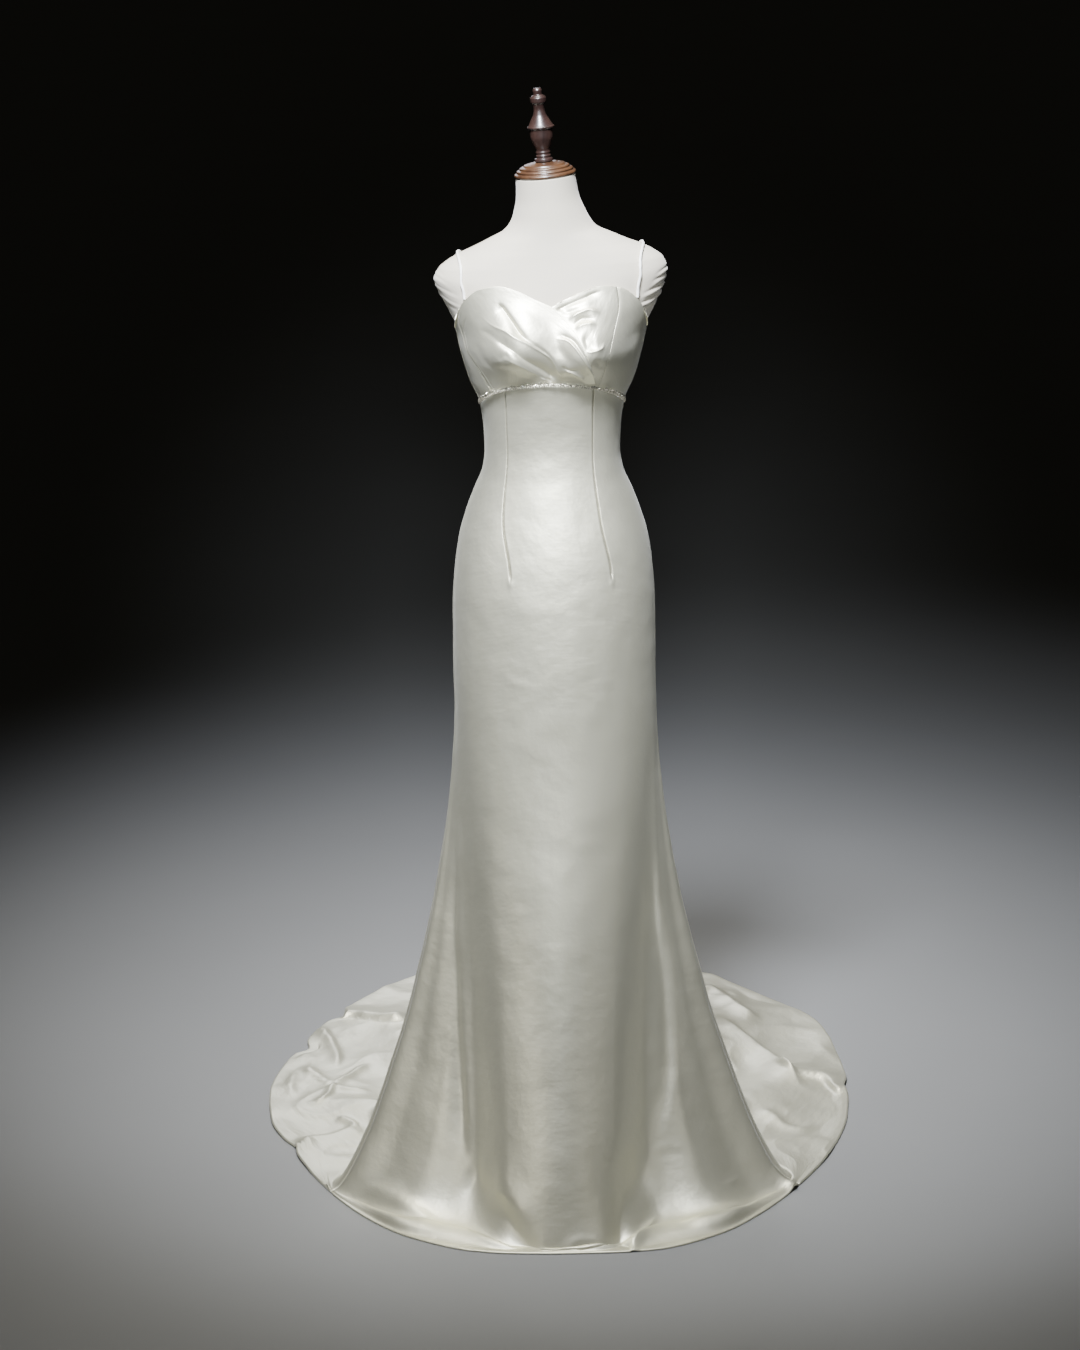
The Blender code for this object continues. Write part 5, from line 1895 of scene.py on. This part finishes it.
@dataclass
class Zip:
    """The coil of the centre-back zip; its slider and pull tab are the solids themselves."""

    top: float = -0.94  # the stations of its two ends
    end: float = 0.42
    samples: int = 1200
    width: float = 0.0044
    thick: float = 0.0012
    gap: float = 0.0005
    pitch: float = 0.0012

    def build(self, nylon: Finish) -> Piece:
        """Makes the two rows of the coil as one piece.

        Args:
            nylon: its material.

        Returns:
            The piece.
        """
        station = np.linspace(self.top, self.end, self.samples)
        line = back_point(np.full(self.samples, 180.0), station)
        way = unit(np.gradient(line, axis=0))
        out = unit(np.cross(np.array([1.0, 0, 0]), way))
        length = lengths(line)
        at = (np.arange(int(length[-1] / self.pitch)) + 0.5) * self.pitch
        centre, normal, down = (
            np.stack([np.interp(at, length, rows[:, k]) for k in range(3)], axis=-1)
            for rows in (line, out, way)
        )
        normal, down = unit(normal), unit(down)
        across = np.broadcast_to(np.array([1.0, 0, 0]), normal.shape)
        middles = []
        for side in (-1, 1):
            shift = across * side * self.width * 0.21 + down * self.pitch * 0.25 * side
            middles.append(centre + shift + normal * (self.gap + self.thick / 2))
        frames = np.tile(np.stack([across, down, normal], axis=1), (2, 1, 1))
        size = [self.width * 0.28, self.pitch * 0.30, self.thick * 0.48]
        sizes = np.tile(size, (len(frames), 1))
        shape = strung(ball(5, 6), np.concatenate(middles), frames, sizes)
        return as_piece("zip_chain_coil", shape, nylon, "zip_chain")


# ---- the dress form and its stand ----
def turned(
    profile: Sequence[Place], foot: float, count: int, sides: int
) -> Shape:
    """A smooth turned solid that stands on the leaning neck.

    Args:
        profile: its (height, radius) places.
        foot: how high its first place is, before the lean.
        count: how many rows it gets, besides those of the places.
        sides: how many faces go round.

    Returns:
        Its points and faces.
    """
    run = np.array(profile)
    along = lengths(run)
    at = np.sort(np.concatenate([np.linspace(0, along[-1], count), along[1:-1]]))
    height, radius = np.interp(at, along, run[:, 0]), Spline(along, run[:, 1])(at)[:, None]
    turn = np.arange(sides) / sides * math.tau
    points = np.stack([radius * np.cos(turn), radius * np.sin(turn),
                       np.repeat(height[:, None], sides, axis=1)], axis=-1)
    here, after = closed_grid(len(at), sides)
    faces = faces_of(here[:-1], after[:-1], after[1:], here[1:])
    faces += [here[0, ::-1].tolist(), here[-1].tolist()]
    return leaned(points.reshape(-1, 3) + np.array([0, 0, foot])), faces


@dataclass
class DressForm:
    """The padded torso with its jersey cover, its turned neck cap and finial, and the stand."""

    cap: tuple[Place, ...] = (
        (0, 0.0445), (0.0012, 0.0465), (0.0034, 0.0475), (0.0056, 0.0466), (0.0066, 0.044),
        (0.0074, 0.043), (0.0092, 0.0436), (0.0108, 0.042), (0.0114, 0.0392), (0.0122, 0.0384),
        (0.014, 0.0384), (0.0154, 0.0362), (0.016, 0.0328), (0.0168, 0.0318), (0.0184, 0.0308),
        (0.0194, 0.0268), (0.0204, 0.0225), (0.0215, 0.018),
    )
    finial: tuple[Place, ...] = (
        (0, 0.0125), (0.0015, 0.0142), (0.0045, 0.014), (0.0065, 0.0108), (0.0095, 0.0118),
        (0.0115, 0.0102), (0.0145, 0.0112), (0.017, 0.0104), (0.026, 0.0138), (0.038, 0.0174),
        (0.0498, 0.018), (0.0512, 0.019), (0.0522, 0.0207), (0.0536, 0.0208), (0.0548, 0.0192),
        (0.064, 0.0142), (0.072, 0.01), (0.08, 0.0083), (0.086, 0.0092), (0.0915, 0.0122),
        (0.0965, 0.0124), (0.1, 0.0098), (0.1025, 0.0066), (0.108, 0.0072), (0.1115, 0.0056),
    )
    joint: float = 0.0003
    torso_sides: int = 260
    grain_radius: float = 0.14  # turns an angle into a distance on the cover
    dents: float = 0.0004
    seam_depth: float = 0.0005
    seam_width: float = 0.0012
    shoulder_line: float = 0.03  # the y at which the gathers begin to be weaker behind
    # the cover's gathers at the end of the left shoulder, which run down and in from the arm's edge
    gathers: tuple[Crease, ...] = (
        Crease(((186, 1505), (178, 1504), (168, 1500), (160, 1494)), -1.9, 1.6, 0.4, 0, 0.5, 0.6),
        Crease(((186, 1501), (177, 1500), (167, 1495), (158, 1487)), 1.4, 1.6, 0, 0, 0.5, 0.6),
        Crease(((184, 1494), (175, 1494), (165, 1491), (153, 1484)), -2.1, 1.7, 0.4, 0, 0.5, 0.6),
        Crease(((183, 1489), (174, 1489), (163, 1485), (150, 1476)), 1.5, 1.7, 0, 0, 0.5, 0.6),
        Crease(((181, 1484), (172, 1480), (160, 1476), (148, 1472), (136, 1468)), -2.1, 1.7, 0.3, 0,
               0.5, 0.6),
        Crease(((178, 1480), (168, 1475), (156, 1470), (143, 1466), (130, 1463)), 1.9, 2, 0, 0, 0.5,
               0.8),
        Crease(((176, 1472), (166, 1466), (154, 1460), (140, 1456), (126, 1452)), -2, 1.9, 0.3, 0,
               0.5, 0.6),
        Crease(((172, 1466), (162, 1460), (150, 1455), (136, 1451), (122, 1445)), 2, 2, 0, 0, 0.5,
               0.8),
        Crease(((168, 1458), (156, 1451), (143, 1446), (128, 1441)), -1.9, 2.1, 0.3, 0, 0.5, 0.5),
    )
    other_share: float = 0.25  # how much of them the right shoulder has

    def torso(self, jersey: Finish) -> Piece:
        """Makes the torso.

        Args:
            jersey: its material.

        Returns:
            The piece.
        """
        height = spans((HIP_LINE, 0.63, 110, 0, 0), (1.43, 0.215, 140, 0, 0))[::-1, None]
        wide = np.arange(-180, 180, 360 / self.torso_sides)
        wide, tall = np.broadcast_arrays(wide, height)
        base, out = outward(form_point, wide, tall)
        closed = np.concatenate([base, base[:, :1]], axis=1)
        lift = unevenness(closed, 0.05, 4.4)[:, :-1] * self.dents + self._gathered(base)
        # the seams at the centre front, centre back and sides of the cover
        for place in (-180, -90, 0, 90):
            lift = lift - self.seam_depth * bell((wide - place) * 0.0022, self.seam_width)
        points = base + out * lift[..., None]
        here, after = closed_grid(*wide.shape)
        faces = faces_of(here[:-1], here[1:], after[1:], after[:-1])
        faces += [here[0].tolist(), here[-1, ::-1].tolist()]
        shape = (points.reshape(-1, 3), faces)
        made = as_piece("form_torso_jersey", shape, jersey, "form_torso")
        grain = np.stack([np.radians(wide) * self.grain_radius, -tall, 0 * tall], axis=-1)
        keep_grain(made.data, grain)
        return made

    def _gathered(self, points: Array) -> Array:
        """The gathers where the cover is drawn over the ends of the shoulders.

        Args:
            points: the form's surface, rows x columns x 3.

        Returns:
            The height at each point.
        """
        mirrored = points * np.array([-1.0, 1.0, 1.0])
        behind = points[..., 1] - self.shoulder_line
        share = ease_in(-behind / self.shoulder_line) + 0.5 * ease_in(behind / self.shoulder_line)
        made = creased(points, self.gathers, Seen.FRONT)
        made = made + self.other_share * creased(mirrored, self.gathers, Seen.FRONT)
        return made * share

    def build(
        self,
        jersey: Finish,
        cap_wood: Finish,
        finial_wood: Finish,
        iron: Finish,
    ) -> list[Piece]:
        """Makes the torso, the cap and the finial, and dresses the stand.

        Args:
            jersey: the cover.
            cap_wood: the cap's finish.
            finial_wood: the finial's finish.
            iron: the stand's finish.

        Returns:
            The new pieces.
        """
        foot = NECK_TOP + self.joint
        shape = turned(self.cap, foot, 48, 80)
        cap = as_piece("neck_cap_turned", shape, cap_wood, "neck_cap")
        foot += self.cap[-1][0] + self.joint
        shape = turned(self.finial, foot, 130, 48)
        finial = as_piece("finial_turned", shape, finial_wood, "finial")
        dress_nodes(("stand_pole", "stand_base"), iron)
        return [self.torso(jersey), cap, finial]


def dress_nodes(names: Sequence[str], finish: Finish) -> None:
    """Gives some CAD nodes their finish.

    Args:
        names: the nodes.
        finish: their material.
    """
    for name in names:
        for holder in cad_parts[name].material_slots:
            holder.material = finish


# ---- the studio ----
WARM = (1.0, 0.98, 0.90)


@dataclass(frozen=True)
class Light:
    """One soft light: where it hangs, what it shines on, its watts, size, cone and colour."""

    name: str
    place: Point
    aim: Point
    power: float
    size: Place
    spread: float  # in degrees
    colour: Point

    def hang(self) -> None:
        """Hangs it."""
        lamp = bpy.data.lights.new(self.name, "AREA")
        lamp.shape = "RECTANGLE"
        lamp.size, lamp.size_y = self.size
        lamp.energy = self.power
        lamp.color = self.colour
        lamp.spread = math.radians(self.spread)
        made = shown(self.name, lamp)
        made.visible_camera = False
        made.location = self.place
        way = Vector(self.aim) - Vector(self.place)
        made.rotation_euler = way.to_track_quat("-Z", "Y").to_euler()


@dataclass
class Studio:
    """The plain floor, the narrow lights that fall on it round the gown, and the camera."""

    half_floor: float = 45.0
    camera_place: Point = (-0.0238, -5.2, 2.381)
    tilt: float = 90 - 16.41
    turn: float = -0.7
    lens: float = 90.67
    sensor: float = 36.0
    sky: Colour = rgb(0.86, 0.83, 0.68)
    sky_strength: float = 0.020
    lights: tuple[Light, ...] = (
        Light("key", (-0.24, -1.25, 3.1), (0, -0.1, 1.42), 20, (0.4, 0.4), 48, (0.88, 0.92, 1)),
        Light("front", (-0.05, -4.4, 2.35), (0, 0, 1.08), 2.4, (0.5, 0.5), 16, (0.87, 0.915, 0.96)),
        Light("overhead", (-0.25, 0.35, 4.2), (-0.05, 0.3, 0), 11, (0.8, 0.8), 50, WARM),
        Light("back", (-0.5, 3.4, 2.3), (0, 0.4, 0), 5, (1.2, 0.8), 70, (0.86, 0.89, 1)),
        Light("low_right", (-2.6, -2.7, 1.7), (-0.1, -0.2, 0.4), 0.9, (0.9, 0.9), 36, WARM),
        Light("low_left", (2.6, -2.7, 1.7), (0.1, -0.2, 0.4), 0.25, (0.9, 0.9), 36, WARM),
    )

    def floor(self, finish: Finish) -> None:
        """Lays the floor.

        Args:
            finish: its material.
        """
        half = self.half_floor
        mesh = bpy.data.meshes.new("floor")
        corners = [(-half, -half, 0), (half, -half, 0), (half, half, 0), (-half, half, 0)]
        mesh.from_pydata(corners, [], [(0, 1, 2, 3)])
        mesh.materials.append(finish)
        shown("floor", mesh)

    def build(self, finish: Finish) -> None:
        """Sets up the studio.

        Args:
            finish: the floor's material.
        """
        self.floor(finish)
        for light in self.lights:
            light.hang()
        world = bpy.data.worlds.new("studio")
        world.use_nodes = True
        background = world.node_tree.nodes["Background"]
        background.inputs[0].default_value = self.sky
        background.inputs[1].default_value = self.sky_strength
        bpy.context.scene.world = world
        lens = bpy.data.cameras.new("camera")
        lens.lens, lens.sensor_width, lens.sensor_fit = self.lens, self.sensor, "AUTO"
        camera = shown("camera", lens)
        camera.matrix_world = (
            Matrix.Translation(self.camera_place)
            @ Matrix.Rotation(math.radians(self.tilt), 4, "X")
            @ Matrix.Rotation(math.radians(self.turn), 4, "Z")
        )
        bpy.context.scene.camera = camera


def main() -> None:
    """Builds the gown, the form and the studio."""
    logging.basicConfig(level=logging.INFO, format="%(message)s")
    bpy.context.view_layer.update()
    satin = Satin().material()
    # the straps get a paler, less metallic copy of the satin; its paler colour is painted light
    # that makes them read as brightly lit
    pale, deep = rgb(0.93, 0.92, 0.88), rgb(0.89, 0.875, 0.83)
    rolled = Satin("satin_painted_lighter", pale, deep, rough=0.40, metal=0.1).material()
    Studio().build(Plaster().material())
    pieces = Skirt(satin).build() + Bodice(satin).build()
    pieces += BeadTrim().build(PearlGloss().material(), Crystal().material())
    pieces += Straps(rolled).build()
    pieces.append(Zip().build(Nylon().material()))
    pieces += DressForm().build(
        Jersey().material(),
        VarnishedWood("cap_wood", rgb(0.075, 0.034, 0.014), rgb(0.032, 0.013, 0.006)).material(),
        VarnishedWood("finial_wood", rgb(0.034, 0.017, 0.013), rgb(0.014, 0.007, 0.006)).material(),
        Enamel().material(),
    )
    dress_nodes(("zip_slider", "zip_pull_tab"), Nickel().material())
    for piece in pieces:
        LOG.info("%s: %d faces", piece.name, len(piece.data.polygons))


if __name__ == "__main__":
    main()
